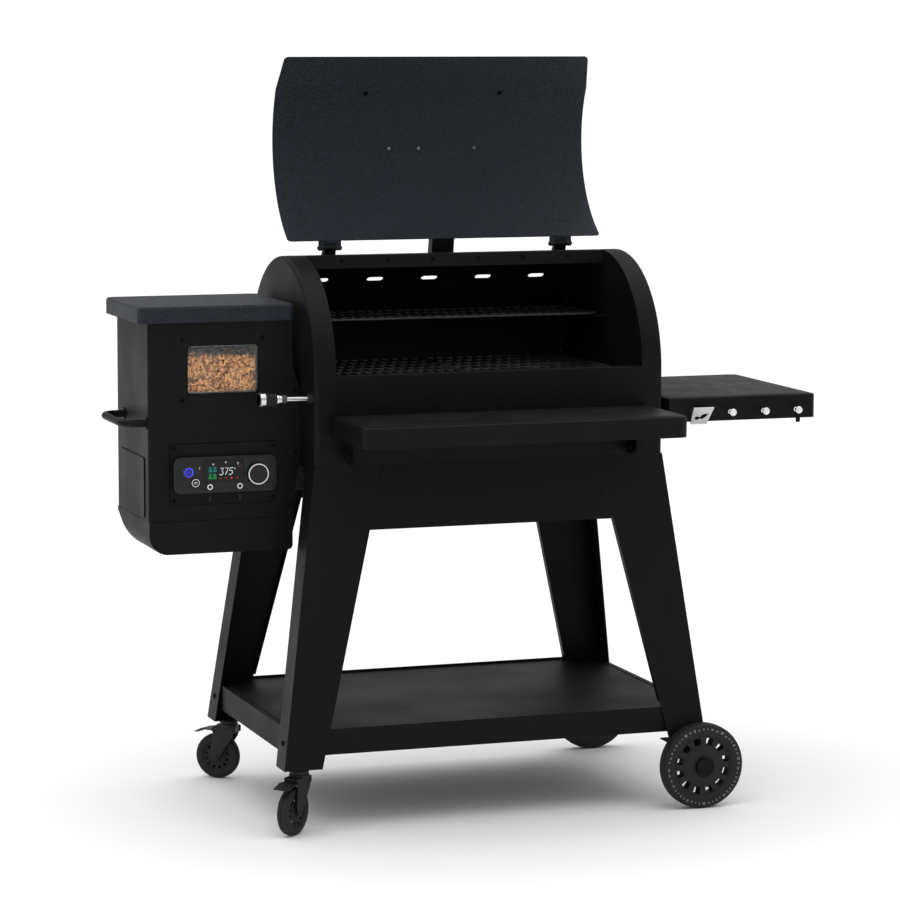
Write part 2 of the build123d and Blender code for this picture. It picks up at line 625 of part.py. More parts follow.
LID_PAN = (-760.0, -414.0, -159.0, 141.0)
LID_PAN_Z0 = 1091.0
LID_PAN_Z1 = 1126.0
HOPPER_HINGE_Y = 147.0
HOPPER_HINGE_Z = 1088.0
with BuildPart() as hopper_lid:
    slab(*LID_PAN, LID_PAN_Z0, LID_PAN_Z1)
    fillet(hopper_lid.edges().filter_by(Axis.Z), radius=16)
    fillet(hopper_lid.faces().sort_by(Axis.Z)[-1].edges(), radius=7)
    offset(amount=-SHEET, openings=hopper_lid.faces().sort_by(Axis.Z)[0])
    for x in (-690, -610, -530, -450):
        slab(x - 14, x + 14, 139.2, HOPPER_HINGE_Y + 5, LID_PAN_Z0 + 0.5, LID_PAN_Z0 + 3.5)
        rod_x(x - 14, x + 14, HOPPER_HINGE_Y, HOPPER_HINGE_Z, 5)
        slab(x - 14, x + 14, HOPPER_HINGE_Y + 1, HOPPER_HINGE_Y + 5, HOPPER_HINGE_Z, LID_PAN_Z0 + 3)
        rod_x(x - 15, x + 15, HOPPER_HINGE_Y, HOPPER_HINGE_Z, 2.05, Mode.SUBTRACT)
keep(hopper_lid.part, "hopper_lid")

with BuildPart() as hopper_hinge:
    for x in (-650, -570, -490):
        slab(x - 24, x + 24, HOPPER_BACK + GAP, HOPPER_BACK + 3.3, 1050, HOPPER_HINGE_Z + 1)
        slab(x - 24, x + 24, HOPPER_BACK + 1, HOPPER_HINGE_Y, HOPPER_HINGE_Z - 5, HOPPER_HINGE_Z - 2)
        rod_x(x - 24, x + 24, HOPPER_HINGE_Y, HOPPER_HINGE_Z, 5)
    rod_x(-706, -434, HOPPER_HINGE_Y, HOPPER_HINGE_Z, 2)
keep(hopper_hinge.part, "hopper_hinge")

HAND_Y0 = -132.0
HAND_Y1 = 62.0
HAND_Z = 877.0
HAND_OUT = 58.0
with BuildPart() as hopper_handle:
    with BuildLine(level(HAND_Z)) as hand_path:
        FilletPolyline((HOPPER_LEFT - GAP, HAND_Y0), (HOPPER_LEFT - HAND_OUT + 8, HAND_Y0),
                       (HOPPER_LEFT - HAND_OUT + 8, HAND_Y1), (HOPPER_LEFT - GAP, HAND_Y1), radius=34)
    with BuildSketch(Plane(origin=hand_path.line @ 0, z_dir=hand_path.line % 0)):
        Circle(8)
    sweep(path=hand_path.line)
    for y in (HAND_Y0, HAND_Y1):
        rod_x(HOPPER_LEFT - 3, HOPPER_LEFT - GAP, y, HAND_Z, 13)
keep(hopper_handle.part, "hopper_handle")

with BuildPart() as access_panel:
    slab(HOPPER_LEFT - SHEET - GAP, HOPPER_LEFT - GAP, *ACCESS)
    fillet(access_panel.edges().filter_by(Axis.X), radius=8)
    slab(HOPPER_LEFT - GAP, HOPPER_LEFT + SHEET, ACCESS[0] + 9, ACCESS[1] - 9, ACCESS[2] + 9, ACCESS[3] - 9)
keep(access_panel.part, "access_panel")

with BuildPart() as power_inlet:
    slab(-573.5, -546.5, HOPPER_BACK - 22, HOPPER_BACK + 3, 706.5, 733.5)
    slab(-577, -543, HOPPER_BACK + GAP, HOPPER_BACK + 4, 703, 737)
    slab(-569, -551, HOPPER_BACK - 16, HOPPER_BACK + 6, 712, 728, Mode.SUBTRACT)
    for x, z in ((-566, 717), (-560, 723), (-554, 717)):
        slab(x - 1, x + 1, HOPPER_BACK - 17, HOPPER_BACK - 2, z - 2.5, z + 2.5)
keep(power_inlet.part, "power_inlet")

# ---- controller ------------------------------------------------------------------------
FACE_Z0 = 726.0
FACE_Z1 = 804.0
FACE_OUT = 13.0            # how far the raised face stands out
KNOB = (-502.0, 764.0)
POWER = (-654.0, 772.0)
PRIME = (-639.0, 749.0)
JACKS = ((-607.0, 739.0), (-541.0, 739.0))
DISPLAY = (-622.0, -522.0, 750.0, 796.0)
with BuildPart() as control_bezel:
    slab(BEZEL[0], BEZEL[1], FACE_Y - 2.3, FACE_Y - GAP, BEZEL[2], BEZEL[3])
    fillet(control_bezel.edges().filter_by(Axis.Y), radius=6)
    slab(-684, -461, FACE_Y - 5, FACE_Y + 2, FACE_Z0 + 4, FACE_Z1 - 4, Mode.SUBTRACT)
keep(control_bezel.part, "control_bezel")

with BuildPart() as control_face:
    slab(-686.5, -458.5, FACE_Y - 2.6 - FACE_OUT, FACE_Y - 2.6, FACE_Z0, FACE_Z1)
    fillet(control_face.edges().filter_by(Axis.Y), radius=14)
    fillet(control_face.faces().sort_by(Axis.Y)[0].edges(), radius=4)
    slab(-680, -464, FACE_Y - FACE_OUT, FACE_Y - 1, FACE_Z0 + 6, FACE_Z1 - 6, Mode.SUBTRACT)
    rod_y(-180, FACE_Y - 5, *KNOB, 6, Mode.SUBTRACT)
    rod_y(-180, FACE_Y - 5, *POWER, 10.3, Mode.SUBTRACT)
    rod_y(-180, FACE_Y - 5, *PRIME, 9.3, Mode.SUBTRACT)
    for jack in JACKS:
        rod_y(-180, FACE_Y - 5, *jack, 4.6, Mode.SUBTRACT)
    slab(DISPLAY[0], DISPLAY[1], -180, FACE_Y - 5, DISPLAY[2], DISPLAY[3], Mode.SUBTRACT)
keep(control_face.part, "control_face")

FACE_FRONT = FACE_Y - 2.6 - FACE_OUT
with BuildPart() as control_board:
    slab(-676, -468, FACE_Y - 6, FACE_Y - 4.4, FACE_Z0 + 8, FACE_Z1 - 8)
    slab(DISPLAY[0] + GAP, DISPLAY[1] - GAP, FACE_FRONT + 0.4, FACE_Y - 5, DISPLAY[2] + GAP,
         DISPLAY[3] - GAP)
keep(control_board.part, "control_board")

KNOB_PROUD = 10.0
with BuildPart() as control_knob:
    rod_y(FACE_FRONT - KNOB_PROUD, FACE_FRONT - 0.5, *KNOB, 24)
    fillet(control_knob.faces().sort_by(Axis.Y)[0].edges(), radius=3)
    rod_y(FACE_FRONT - 1, FACE_Y - 7, *KNOB, 4)
keep(control_knob.part, "control_knob")

for name, place, r in (("power_button", POWER, 10.0), ("prime_button", PRIME, 9.0)):
    with BuildPart() as button:
        rod_y(FACE_FRONT - 2, FACE_Y - 9, *place, r)
        fillet(button.faces().sort_by(Axis.Y)[0].edges(), radius=0.8)
    keep(button.part, name)

with BuildPart() as probe_jacks:
    for jack in JACKS:
        rod_y(FACE_FRONT - 1.5, FACE_FRONT - 0.1, *jack, 6.5)
        rod_y(FACE_FRONT - 1, FACE_Y - 7, *jack, 4.5)
        rod_y(FACE_FRONT - 5, FACE_Y - 9, *jack, 1.4, Mode.SUBTRACT)
keep(probe_jacks.part, "probe_jacks")

# ---- broiler slide and its lever ---------------------------------------------------------
with BuildPart() as broiler_slide:
    slab(-150, 150, -75, 75, DEFLECT_Z + SHEET + GAP, DEFLECT_Z + 2 * SHEET + GAP)
    slab(-150, -130, -230, -74, DEFLECT_Z + SHEET + GAP, DEFLECT_Z + 2 * SHEET + GAP)
    slab(-150, -130, -235, -221, DEFLECT_Z + SHEET + GAP, LEVER_Z + 10)
    with BuildSketch(level(DEFLECT_Z)):
        with GridLocations(VENT_PITCH, 1, 9, 1):
            Rectangle(10, 120)
    extrude(amount=12, mode=Mode.SUBTRACT)
    rod_x(-456, -130, LEVER_Y, LEVER_Z, 6)
    rod_x(-478, -456, LEVER_Y, LEVER_Z, 9)
    rod_x(-504, -478, LEVER_Y, LEVER_Z, 5)
    rod_x(-517, -503, LEVER_Y, LEVER_Z, 15.5)
    fillet(broiler_slide.faces().sort_by(Axis.X)[0].edges(), radius=2)
keep(broiler_slide.part, "broiler_slide")

with BuildPart() as lever_grip:
    rod_x(-502.9, -478.1, LEVER_Y, LEVER_Z, 14)
    rod_x(-503.5, -477, LEVER_Y, LEVER_Z, 5, Mode.SUBTRACT)
keep(lever_grip.part, "lever_grip")

# ---- shelves --------------------------------------------------------------------------------
with BuildPart() as front_shelf:
    slab(-FRONT_SHELF_HALF, FRONT_SHELF_HALF, FRONT_SHELF_Y, FRONT_SHELF_BACK,
         FRONT_SHELF_TOP - FRONT_SHELF_DEEP, FRONT_SHELF_TOP)
    fillet(front_shelf.edges().filter_by(Axis.Z).group_by(Axis.Y)[0], radius=26)
    fillet(front_shelf.faces().sort_by(Axis.Z)[-1].edges().group_by(Axis.Y)[:-1], radius=5)
    offset(amount=-SHEET, openings=front_shelf.faces().sort_by(Axis.Z)[0])
    for x in (-322, 322):
        slab(x - 9, x - 6, FRONT_PIVOT_Y - 30, FRONT_SHELF_BACK - 4,
             FRONT_PIVOT_Z - 12, FRONT_SHELF_TOP - 1)
        rod_x(x - 20, x, FRONT_PIVOT_Y, FRONT_PIVOT_Z, 5.06, Mode.SUBTRACT)
keep(front_shelf.part, "front_shelf")

with BuildPart() as side_shelf:
    slab(SIDE_SHELF_X0, SIDE_SHELF_X1, SIDE_SHELF_Y0, SIDE_SHELF_Y1, SIDE_SHELF_TOP - SIDE_SHELF_DEEP,
         SIDE_SHELF_TOP)
    fillet(side_shelf.edges().filter_by(Axis.Z).group_by(Axis.X)[-1], radius=14)
    fillet(side_shelf.faces().sort_by(Axis.Z)[-1].edges().group_by(Axis.X)[1:], radius=4)
    offset(amount=-SHEET, openings=side_shelf.faces().sort_by(Axis.Z)[0])
    for y in (-150, 110):
        slab(SIDE_SHELF_X0 + 1, SIDE_PIVOT_X + 20, y - 9, y - 6, SIDE_PIVOT_Z - 12, SIDE_SHELF_TOP - 1)
        rod_y(y - 20, y, SIDE_PIVOT_X, SIDE_PIVOT_Z, 5.06, Mode.SUBTRACT)
    rod = (737, -228)
    with BuildSketch(level(SIDE_PIVOT_Z + 3)):
        with Locations(rod):
            Circle(5)
    extrude(amount=SIDE_SHELF_TOP - SIDE_PIVOT_Z - 4)
keep(side_shelf.part, "side_shelf")

# out from the wall, and up from the pivot
BRACKET = [(0, -20), (0, 11), (12, 11), (46, 7), (46, -7), (30, -20)]
with BuildPart() as shelf_brackets:
    for x in (-322, 322):
        with BuildSketch(side(x - 5)):
            with BuildLine():
                wall = FRONT_PIVOT_Y + PIVOT_OUT
                Polyline(*[(wall - out, FRONT_PIVOT_Z + up) for out, up in BRACKET], close=True)
            make_face()
        extrude(amount=10)
        rod_x(x - 12, x - 4, FRONT_PIVOT_Y, FRONT_PIVOT_Z, 5)
        rod_x(x - 14, x - 12, FRONT_PIVOT_Y, FRONT_PIVOT_Z, 8)
    for y in (-150, 110):
        with BuildSketch(front(y + 5)):
            with BuildLine():
                wall = SIDE_PIVOT_X - PIVOT_OUT
                Polyline(*[(wall + out, SIDE_PIVOT_Z + up) for out, up in BRACKET], close=True)
            make_face()
        extrude(amount=10)
        rod_y(y - 12, y - 4, SIDE_PIVOT_X, SIDE_PIVOT_Z, 5)
        rod_y(y - 14, y - 12, SIDE_PIVOT_X, SIDE_PIVOT_Z, 8)
keep(shelf_brackets.part, "shelf_brackets")

HOOK_Z = 868.7
with BuildPart() as shelf_hooks:
    for x in (565.0, 645.0, 724.5):
        rod_y(SIDE_SHELF_Y0 - 14, SIDE_SHELF_Y0 - GAP / 3, x, HOOK_Z, 4)
        rod_y(SIDE_SHELF_Y0 - 20, SIDE_SHELF_Y0 - 14, x, HOOK_Z, 9)
    fillet(shelf_hooks.faces().group_by(Axis.Y)[0].edges(), radius=2)
keep(shelf_hooks.part, "shelf_hooks")

OPENER_BACK = SIDE_SHELF_Y0 - GAP / 3
with BuildPart() as bottle_opener:      # a plate that leans forward from its foot, with a fold at its left
    with BuildSketch(side(469)):
        with BuildLine():
            Polyline((OPENER_BACK, 843), (OPENER_BACK, 853), (OPENER_BACK - 17.5, 883),
                     (OPENER_BACK - 20, 883), (OPENER_BACK - 2.5, 852), (OPENER_BACK - 2.5, 843),
                     close=True)
        make_face()
    extrude(amount=50)
    with BuildSketch(side(469)):
        with BuildLine():
            Polyline((OPENER_BACK, 853), (OPENER_BACK, 881), (OPENER_BACK - 17, 881), close=True)
        make_face()
    extrude(amount=2.5)
    with BuildSketch(front(OPENER_BACK + 1)):
        with Locations((496, 862)):
            RectangleRounded(30, 9, 3)
    extrude(amount=30, mode=Mode.SUBTRACT)
keep(bottle_opener.part, "bottle_opener")

# ---- casters and wheels -------------------------------------------------------------------------
for row, way in (("front", -1), ("rear", 1)):
    heading = radians(CASTER_HEADING[row])
    ahead = Vector(cos(heading), sin(heading), 0)
    across = Vector(-sin(heading), cos(heading), 0)
    stem = Vector(BARREL_X + CASTER_X, BARREL_Y + way * CASTER_Y, 0)
    hub = stem + ahead * CASTER_TRAIL + Vector(0, 0, CASTER_R)

    def fork_plane(z, base=stem, along=ahead):
        """A level plane at the stem, with its X along the way the wheel trails."""
        return Plane(origin=(base.X, base.Y, z), x_dir=along, z_dir=(0, 0, 1))

    def cheek_plane(offset_across, base=stem, along=ahead, sideways=across):
        """An upright plane beside the wheel, with X along the trail and Y up."""
        place = base + sideways * offset_across
        return Plane(origin=place, x_dir=along, z_dir=(sideways * -1))

    with BuildPart() as fork:
        with BuildSketch(fork_plane(122)):
            Circle(21)
        extrude(amount=18)
        with BuildSketch(fork_plane(140)):
            Circle(5.5)
        extrude(amount=32)
        with BuildSketch(fork_plane(119)):
            SlotCenterPoint((0, 0), (12, 0), 42)
        extrude(amount=4)
        for offset_across in (-16.5, 19.5):
            with BuildSketch(cheek_plane(offset_across)):
                with BuildLine():
                    Polyline((-18, 122), (30, 122), (CASTER_TRAIL + 9, CASTER_R + 4),
                             (CASTER_TRAIL + 4, CASTER_R - 8), (CASTER_TRAIL - 6, CASTER_R - 7),
                             (-12, 96), close=True)
                make_face()
            extrude(amount=3)
        with BuildSketch(cheek_plane(19.4)):
            with Locations((CASTER_TRAIL, CASTER_R)):
                Circle(4)
        extrude(amount=38.8)
    keep(fork.part, f"caster_fork_{row}")

    with BuildPart() as wheel:
        with BuildSketch(Plane(origin=hub, x_dir=ahead, z_dir=across)):
            Circle(CASTER_R)
        extrude(amount=11.5, both=True)
        fillet(wheel.edges(), radius=5)
        with BuildSketch(Plane(origin=hub, x_dir=ahead, z_dir=across)):
            Circle(4.05)
            with PolarLocations(27, 12):
                Rectangle(7, 9)
        extrude(amount=30, both=True, mode=Mode.SUBTRACT)
    keep(wheel.part, f"caster_wheel_{row}")

    with BuildPart() as pedal:
        with BuildSketch(cheek_plane(13.4)):
            with BuildLine():
                Polyline((24, 112), (34, 116), (58, 117), (78, 109), (77, 106),
                         (58, 113), (36, 112), (26, 108), close=True)
            make_face()
            with Locations((28, 112)):
                Circle(4.5)
        extrude(amount=26.8)
    keep(pedal.part, f"brake_pedal_{row}")

WHEEL_FACE_Y = 350.0
for name, way in (("wheel_front", -1), ("wheel_rear", 1)):
    near = way * WHEEL_FACE_Y
    far = way * (WHEEL_FACE_Y - WHEEL_WIDE)
    y0, y1 = sorted((near, far))
    with BuildPart() as wheel:
        rod_y(y0, y1, WHEEL_X, WHEEL_R, WHEEL_R)
        fillet(wheel.edges(), radius=7)
        for face in (y0, y1 - 8):
            with BuildSketch(front(face + 8)):
                with Locations((WHEEL_X, WHEEL_R)):
                    Circle(68)
                    Circle(24, mode=Mode.SUBTRACT)
            extrude(amount=8, mode=Mode.SUBTRACT)
        with BuildSketch(front(y1 + 1)):
            with Locations((WHEEL_X, WHEEL_R)):
                with PolarLocations(56, 12):
                    Rectangle(14, 17)
                Circle(6.05)
        extrude(amount=WHEEL_WIDE + 2, mode=Mode.SUBTRACT)
    keep(wheel.part, name)

FOOT_Z = LEG_BOTTOM_Z - GAP
with BuildPart() as wheel_axles:
    for way in (-1, 1):
        y0, y1 = sorted((way * 256.0, way * 354.0))
        rod_y(y0, y1, WHEEL_X, WHEEL_R, 6)
        y0, y1 = sorted((way * 350.4, way * 357.0))
        rod_y(y0, y1, WHEEL_X, WHEEL_R, 19)
        y0, y1 = sorted((way * 258.0, way * 311.0))
        slab(412, 486, y0, y1, FOOT_Z - 3, FOOT_Z)
        for cheek in (258.0, 308.0):
            y0, y1 = sorted((way * cheek, way * (cheek + 3)))
            with BuildSketch(front(y1)):
                with BuildLine():
                    Polyline((412, FOOT_Z), (486, FOOT_Z), (WHEEL_X + 14, WHEEL_R - 10),
                             (WHEEL_X + 6, WHEEL_R - 16), (WHEEL_X - 6, WHEEL_R - 16),
                             (WHEEL_X - 14, WHEEL_R - 10), close=True)
                make_face()
            extrude(amount=y1 - y0)
keep(wheel_axles.part, "wheel_axles")


# ---- screws and bolts ---------------------------------------------------------------------------
SCREW_R = 4.0
SCREW_HEAD = 2.2
strip_screws = [(x, 1204.8) for x in (-265, -159, -53, 53, 159, 265)]
hopper_screws = [(-662, 1055), (-485, 1055), (-662, 924), (-485, 924), (-413.5, 939), (-413.5, 806),
                 (-426, 690)]
bezel_screws = [(-683, 822), (-462, 822), (-683, 710), (-462, 710)]
with BuildPart() as screws:
    for x, z in strip_screws:
        rod_y(STRIP_Y - SCREW_HEAD, STRIP_Y - 0.05, x, z, SCREW_R)
    for x, z in hopper_screws:
        rod_y(FACE_Y - SCREW_HEAD, FACE_Y - 0.05, x, z, SCREW_R)
    for x, z in bezel_screws:
        rod_y(FACE_Y - 2.4 - SCREW_HEAD, FACE_Y - 2.35, x, z, SCREW_R)
    for way_x in (-1, 1):
        for way_y in (-1, 1):
            z = 196
            x = way_x * (leg_outer_x(z) + 0.8)
            x0, x1 = sorted((x, x + way_x * SCREW_HEAD))
            rod_x(x0, x1, way_y * (leg_outer_y(z) - 32), z, 5.5)
keep(screws.part, "screws")
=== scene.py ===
"""Looks of a pellet smoker grill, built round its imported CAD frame.

The CAD pieces whose shape is right keep it and get a finish here. The lid, wheels, casters,
grates, controller and other fine pieces are made anew in mesh code, in the place of their node.
"""
import json
import math
import random

import bmesh
import bpy
from bpy.props import FloatProperty, FloatVectorProperty, IntProperty, PointerProperty
from mathutils import Matrix, Vector

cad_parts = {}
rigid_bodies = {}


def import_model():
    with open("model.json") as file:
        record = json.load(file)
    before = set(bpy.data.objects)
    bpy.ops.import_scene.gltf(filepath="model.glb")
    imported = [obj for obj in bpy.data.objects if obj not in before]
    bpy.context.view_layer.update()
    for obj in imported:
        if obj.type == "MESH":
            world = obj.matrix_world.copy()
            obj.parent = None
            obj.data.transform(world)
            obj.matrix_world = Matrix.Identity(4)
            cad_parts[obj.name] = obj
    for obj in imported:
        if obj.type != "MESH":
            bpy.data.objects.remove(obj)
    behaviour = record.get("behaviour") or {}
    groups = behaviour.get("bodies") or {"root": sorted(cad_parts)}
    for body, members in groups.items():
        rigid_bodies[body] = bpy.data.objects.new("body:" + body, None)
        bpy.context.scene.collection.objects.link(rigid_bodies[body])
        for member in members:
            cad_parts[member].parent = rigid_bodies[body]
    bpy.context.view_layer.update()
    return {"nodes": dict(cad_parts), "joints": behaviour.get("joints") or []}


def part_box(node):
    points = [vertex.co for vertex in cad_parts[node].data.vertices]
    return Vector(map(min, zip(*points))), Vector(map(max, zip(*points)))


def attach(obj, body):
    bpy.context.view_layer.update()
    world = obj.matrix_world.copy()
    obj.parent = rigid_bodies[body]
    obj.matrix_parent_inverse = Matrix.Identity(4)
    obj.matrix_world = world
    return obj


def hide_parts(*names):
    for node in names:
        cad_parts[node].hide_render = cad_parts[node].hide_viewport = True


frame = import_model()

bl_info = {
    "name": "Pellet smoker grill",
    "version": (1, 0, 0),
    "blender": (4, 5, 0),
    "location": "View3D > Sidebar > Grill",
    "description": "Finishes and fine pieces of a pellet smoker grill",
    "category": "Object",
}

MM = 0.001
AXES = {"x": Vector((1, 0, 0)), "y": Vector((0, 1, 0)), "z": Vector((0, 0, 1))}


# ---- places, read from the frame ------------------------------------------------------------
def node_box(node):
    """Lowest and highest corner of a node, in millimetres from the barrel's middle."""
    low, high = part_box(node)
    return (low - BARREL) / MM, (high - BARREL) / MM


def joint(name):
    """A joint: its pivot in millimetres from the barrel's middle, its axis and its entry."""
    found = next(j for j in frame["joints"] if j["name"] == name)
    pivot = (Vector(found.get("pos_m", (0, 0, 0))) - BARREL) / MM
    return pivot, Vector(found["axis"]), found


LEFT_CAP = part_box("end_cap_left")
RIGHT_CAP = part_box("end_cap_right")
BARREL = Vector(((LEFT_CAP[0].x + RIGHT_CAP[1].x) / 2, (LEFT_CAP[0].y + LEFT_CAP[1].y) / 2, 0))
BARREL_R = (LEFT_CAP[1].y - LEFT_CAP[0].y) / 2 / MM
BARREL_AXIS_Z = LEFT_CAP[1].z / MM - BARREL_R


# ---- settings a user would change -----------------------------------------------------------
def colour(name, description, default):
    return FloatVectorProperty(name=name, description=description, default=default, size=3,
                               min=0, max=1, subtype="COLOR")


def length(name, description, default):
    """A length in metres, shown in the scene's unit."""
    return FloatProperty(name=name, description=description, default=default, min=0, unit="LENGTH")


def share(name, description, default):
    return FloatProperty(name=name, description=description, default=default, min=0, max=1,
                         subtype="FACTOR")


class GRILL_PG_finish(bpy.types.PropertyGroup):
    coat: colour("Coat", "Black powder coat of the barrel and cart", (0.0032, 0.0032, 0.0034))
    coat_gloss: share("Coat shine", "Specular level of the powder coat", 0.12)
    hammered: colour("Hammered coat", "Blue-grey speckled coat of both lids", (0.0050, 0.0075, 0.0120))
    chrome: colour("Chrome", "Lever, hooks and lid handle", (0.72, 0.72, 0.74))
    stainless: colour("Stainless", "Brushed steel of the bottle opener", (0.62, 0.62, 0.61))
    iron: colour("Grates", "Matt coat on the cast grates", (0.012, 0.012, 0.0125))
    plastic: colour("Plastic", "Controller, grip and forks", (0.006, 0.006, 0.0065))
    tyre: colour("Tyres", "Moulded wheels", (0.0105, 0.0105, 0.0108))


class GRILL_PG_lid(bpy.types.PropertyGroup):
    thickness: length("Sheet", "Thickness of the lid's sheet", 0.002)
    lift: length("Panel lift", "How far the pressed panel stands inwards", 0.00135)
    step: length("Panel step", "Width of the pressed panel's sloping edge", 0.0024)
    corner: length("Corner", "Radius of the lid's free corners", 0.009)


class GRILL_PG_pellets(bpy.types.PropertyGroup):
    radius: length("Radius", "Radius of a wood pellet", 0.0021)
    front: IntProperty(name="Behind the window", description="Pellets behind the window",
                       default=1150, min=0)
    top: IntProperty(name="On top", description="Pellets on the heap's top", default=2200, min=0)
    wood: colour("Wood", "Colour of the pellets", (0.95, 0.50, 0.17))
    # The dark colour serves the darkest pellets and also paints the shade on the heap's inner block.
    dark_wood_and_shade: colour("Dark wood", "Colour of the darkest pellets", (0.22, 0.07, 0.015))


class GRILL_PG_stage(bpy.types.PropertyGroup):
    lens: length("Lens", "Focal length of the camera", 0.1392)
    glow: FloatProperty(name="Backdrop", description="Brightness of the white backdrop",
                        default=1.06, min=0)
    front: FloatProperty(name="Level light", description="Light from round the grill at its own height",
                         default=0.62, min=0)
    overhead: FloatProperty(name="Overhead light", description="Light from straight above",
                            default=1.8, min=0)
    floor: share("Floor", "How pale the floor is", 0.93)


def settings(group):
    return getattr(bpy.context.scene, "grill_" + group)


# ---- shader maths ---------------------------------------------------------------------------
class Value:
    """A shader socket that can be used in an expression."""

    def __init__(self, shader, socket):
        self.shader = shader
        self.socket = socket

    def maths(self, operation, *others):
        return self.shader.add("ShaderNodeMath", {"operation": operation}, [self, *others])

    def __add__(self, other):
        return self.maths("ADD", other)

    def __radd__(self, other):
        return self.maths("ADD", other)

    def __sub__(self, other):
        return self.maths("SUBTRACT", other)

    def __rsub__(self, other):
        return self.shader.add("ShaderNodeMath", {"operation": "SUBTRACT"}, [other, self])

    def __mul__(self, other):
        return self.maths("MULTIPLY", other)

    def __rmul__(self, other):
        return self.maths("MULTIPLY", other)

    def ramp(self, low, high, to_low=0.0, to_high=1.0):
        """The value taken smoothly from one range to another, held at both ends."""
        return self.shader.add("ShaderNodeMapRange",
                               {"clamp": True, "interpolation_type": "SMOOTHSTEP"},
                               {"Value": self, "From Min": low, "From Max": high,
                                "To Min": to_low, "To Max": to_high})


class Nodes:
    """A node tree that is added to."""

    def __init__(self, owner):
        owner.use_nodes = True
        self.tree = owner.node_tree

    def add(self, kind, options=None, inputs=None, output=0):
        """A node: its type, then its settings, then its sockets' values or links."""
        node = self.tree.nodes.new(kind)
        for option, value in (options or {}).items():
            setattr(node, option, value)
        pairs = inputs.items() if isinstance(inputs, dict) else enumerate(inputs or [])
        for socket, value in pairs:
            if isinstance(value, Value):
                self.tree.links.new(value.socket, node.inputs[socket])
            else:
                node.inputs[socket].default_value = value
        return Value(self, node.outputs[output])


class Shader(Nodes):
    """One finish: a Principled BSDF and what varies over the surface."""

    def __init__(self, name, base, roughness, **constants):
        self.material = bpy.data.materials.new(name)
        super().__init__(self.material)
        self.bsdf = self.tree.nodes["Principled BSDF"]
        self.material.diffuse_color = (*base, 1)
        self.set("Base Color", (*base, 1))
        self.set("Roughness", roughness)
        for socket, value in constants.items():
            self.set(socket.replace("_", " "), value)

    def set(self, socket, value):
        """Give one of the surface's own sockets a value or a link."""
        if isinstance(value, Value):
            self.tree.links.new(value.socket, self.bsdf.inputs[socket])
        else:
            self.bsdf.inputs[socket].default_value = value

    def place(self):
        return self.add("ShaderNodeTexCoord", output="Object")

    def noise(self, scale, detail=3.0, roughness=0.5, place=None):
        return self.add("ShaderNodeTexNoise", None,
                        {"Vector": place or self.place(), "Scale": scale, "Detail": detail,
                         "Roughness": roughness}, "Fac")

    def cells(self, scale, feature="F1", output="Distance"):
        return self.add("ShaderNodeTexVoronoi", {"feature": feature},
                        {"Vector": self.place(), "Scale": scale}, output)

    def stretched(self, x, y, z):
        """The place on the surface, scaled apart along the axes."""
        return self.add("ShaderNodeVectorMath", {"operation": "MULTIPLY"}, [self.place(), (x, y, z)])

    def mix(self, factor, first, second):
        """A colour between two colours."""
        return self.add("ShaderNodeMix", {"data_type": "RGBA"},
                        {"Factor": factor, 6: (*first, 1) if isinstance(first, tuple) else first,
                         7: (*second, 1) if isinstance(second, tuple) else second}, 2)

    # Sets the base colour between two colours; in the pellets its dark end also paints the shade of the
    # heap.
    def base_between(self, factor, first, second):
        self.set("Base Color", self.mix(factor, first, second))

    def bump(self, height, strength, distance):
        self.set("Normal", self.add("ShaderNodeBump", None,
                                    {"Height": height, "Strength": strength, "Distance": distance}))


def brighter(base, factor):
    return tuple(min(1.0, channel * factor) for channel in base)


def powder_coat():
    """Black powder coat: an even satin skin of fine flowed grains, a little dusty in patches."""
    finish = settings("finish")
    base = tuple(finish.coat)
    shader = Shader("powder_coat", base, 0.5, Specular_IOR_Level=finish.coat_gloss)
    grain = shader.noise(1400.0, 2.0)
    flow = shader.noise(420.0, 3.0, 0.6)
    patches = shader.noise(7.0, 4.0)
    shader.set("Roughness", patches.ramp(0.3, 0.7, 0.44, 0.54) + grain * 0.05)
    shader.base_between(patches.ramp(0.35, 0.75), base, brighter(base, 1.5))
    shader.bump(grain * 0.6 + flow * 0.4, 0.32, 0.0005)
    return shader.material


def wrinkle_coat():
    """The rougher black coat on the shelves, with its fine leather wrinkles."""
    finish = settings("finish")
    base = tuple(finish.coat)
    shader = Shader("wrinkle_coat", base, 0.52, Specular_IOR_Level=finish.coat_gloss)
    wrinkles = shader.cells(520.0)
    grain = shader.noise(900.0, 3.0, 0.6)
    patches = shader.noise(5.0, 4.0)
    shader.set("Roughness", patches.ramp(0.3, 0.7, 0.46, 0.56) + wrinkles * 0.05)
    shader.base_between(patches.ramp(0.35, 0.75), base, brighter(base, 1.5))
    shader.bump(wrinkles * 0.6 + grain * 0.6, 0.45, 0.0006)
    return shader.material


def hammered_coat():
    """Blue-grey hammered coat: soft dimples with paler flakes on their crests."""
    finish = settings("finish")
    base = tuple(finish.hammered)
    shader = Shader("hammered_coat", base, 0.5, Specular_IOR_Level=0.32)
    dimples = shader.cells(300.0, "SMOOTH_F1")
    flakes = shader.noise(420.0, 2.0, 0.7)
    drift = shader.noise(9.0, 3.0)
    shader.base_between(flakes.ramp(0.48, 0.64), base, brighter(base, 3.4))
    shader.set("Roughness", dimples.ramp(0.1, 0.6, 0.4, 0.56) + drift * 0.06)
    shader.bump(dimples + flakes * 1.2, 1.0, 0.0034)
    return shader.material


def chrome():
    """Polished plating with faint polishing lines and a few smudges."""
    finish = settings("finish")
    base = tuple(finish.chrome)
    shader = Shader("chrome", base, 0.1, Metallic=1.0)
    smudges = shader.noise(40.0, 5.0, 0.6)
    lines = shader.noise(300.0, 2.0, place=shader.stretched(0.15, 1, 1))
    shader.set("Roughness", smudges.ramp(0.35, 0.75, 0.06, 0.2))
    shader.bump(lines, 0.05, 0.0002)
    return shader.material


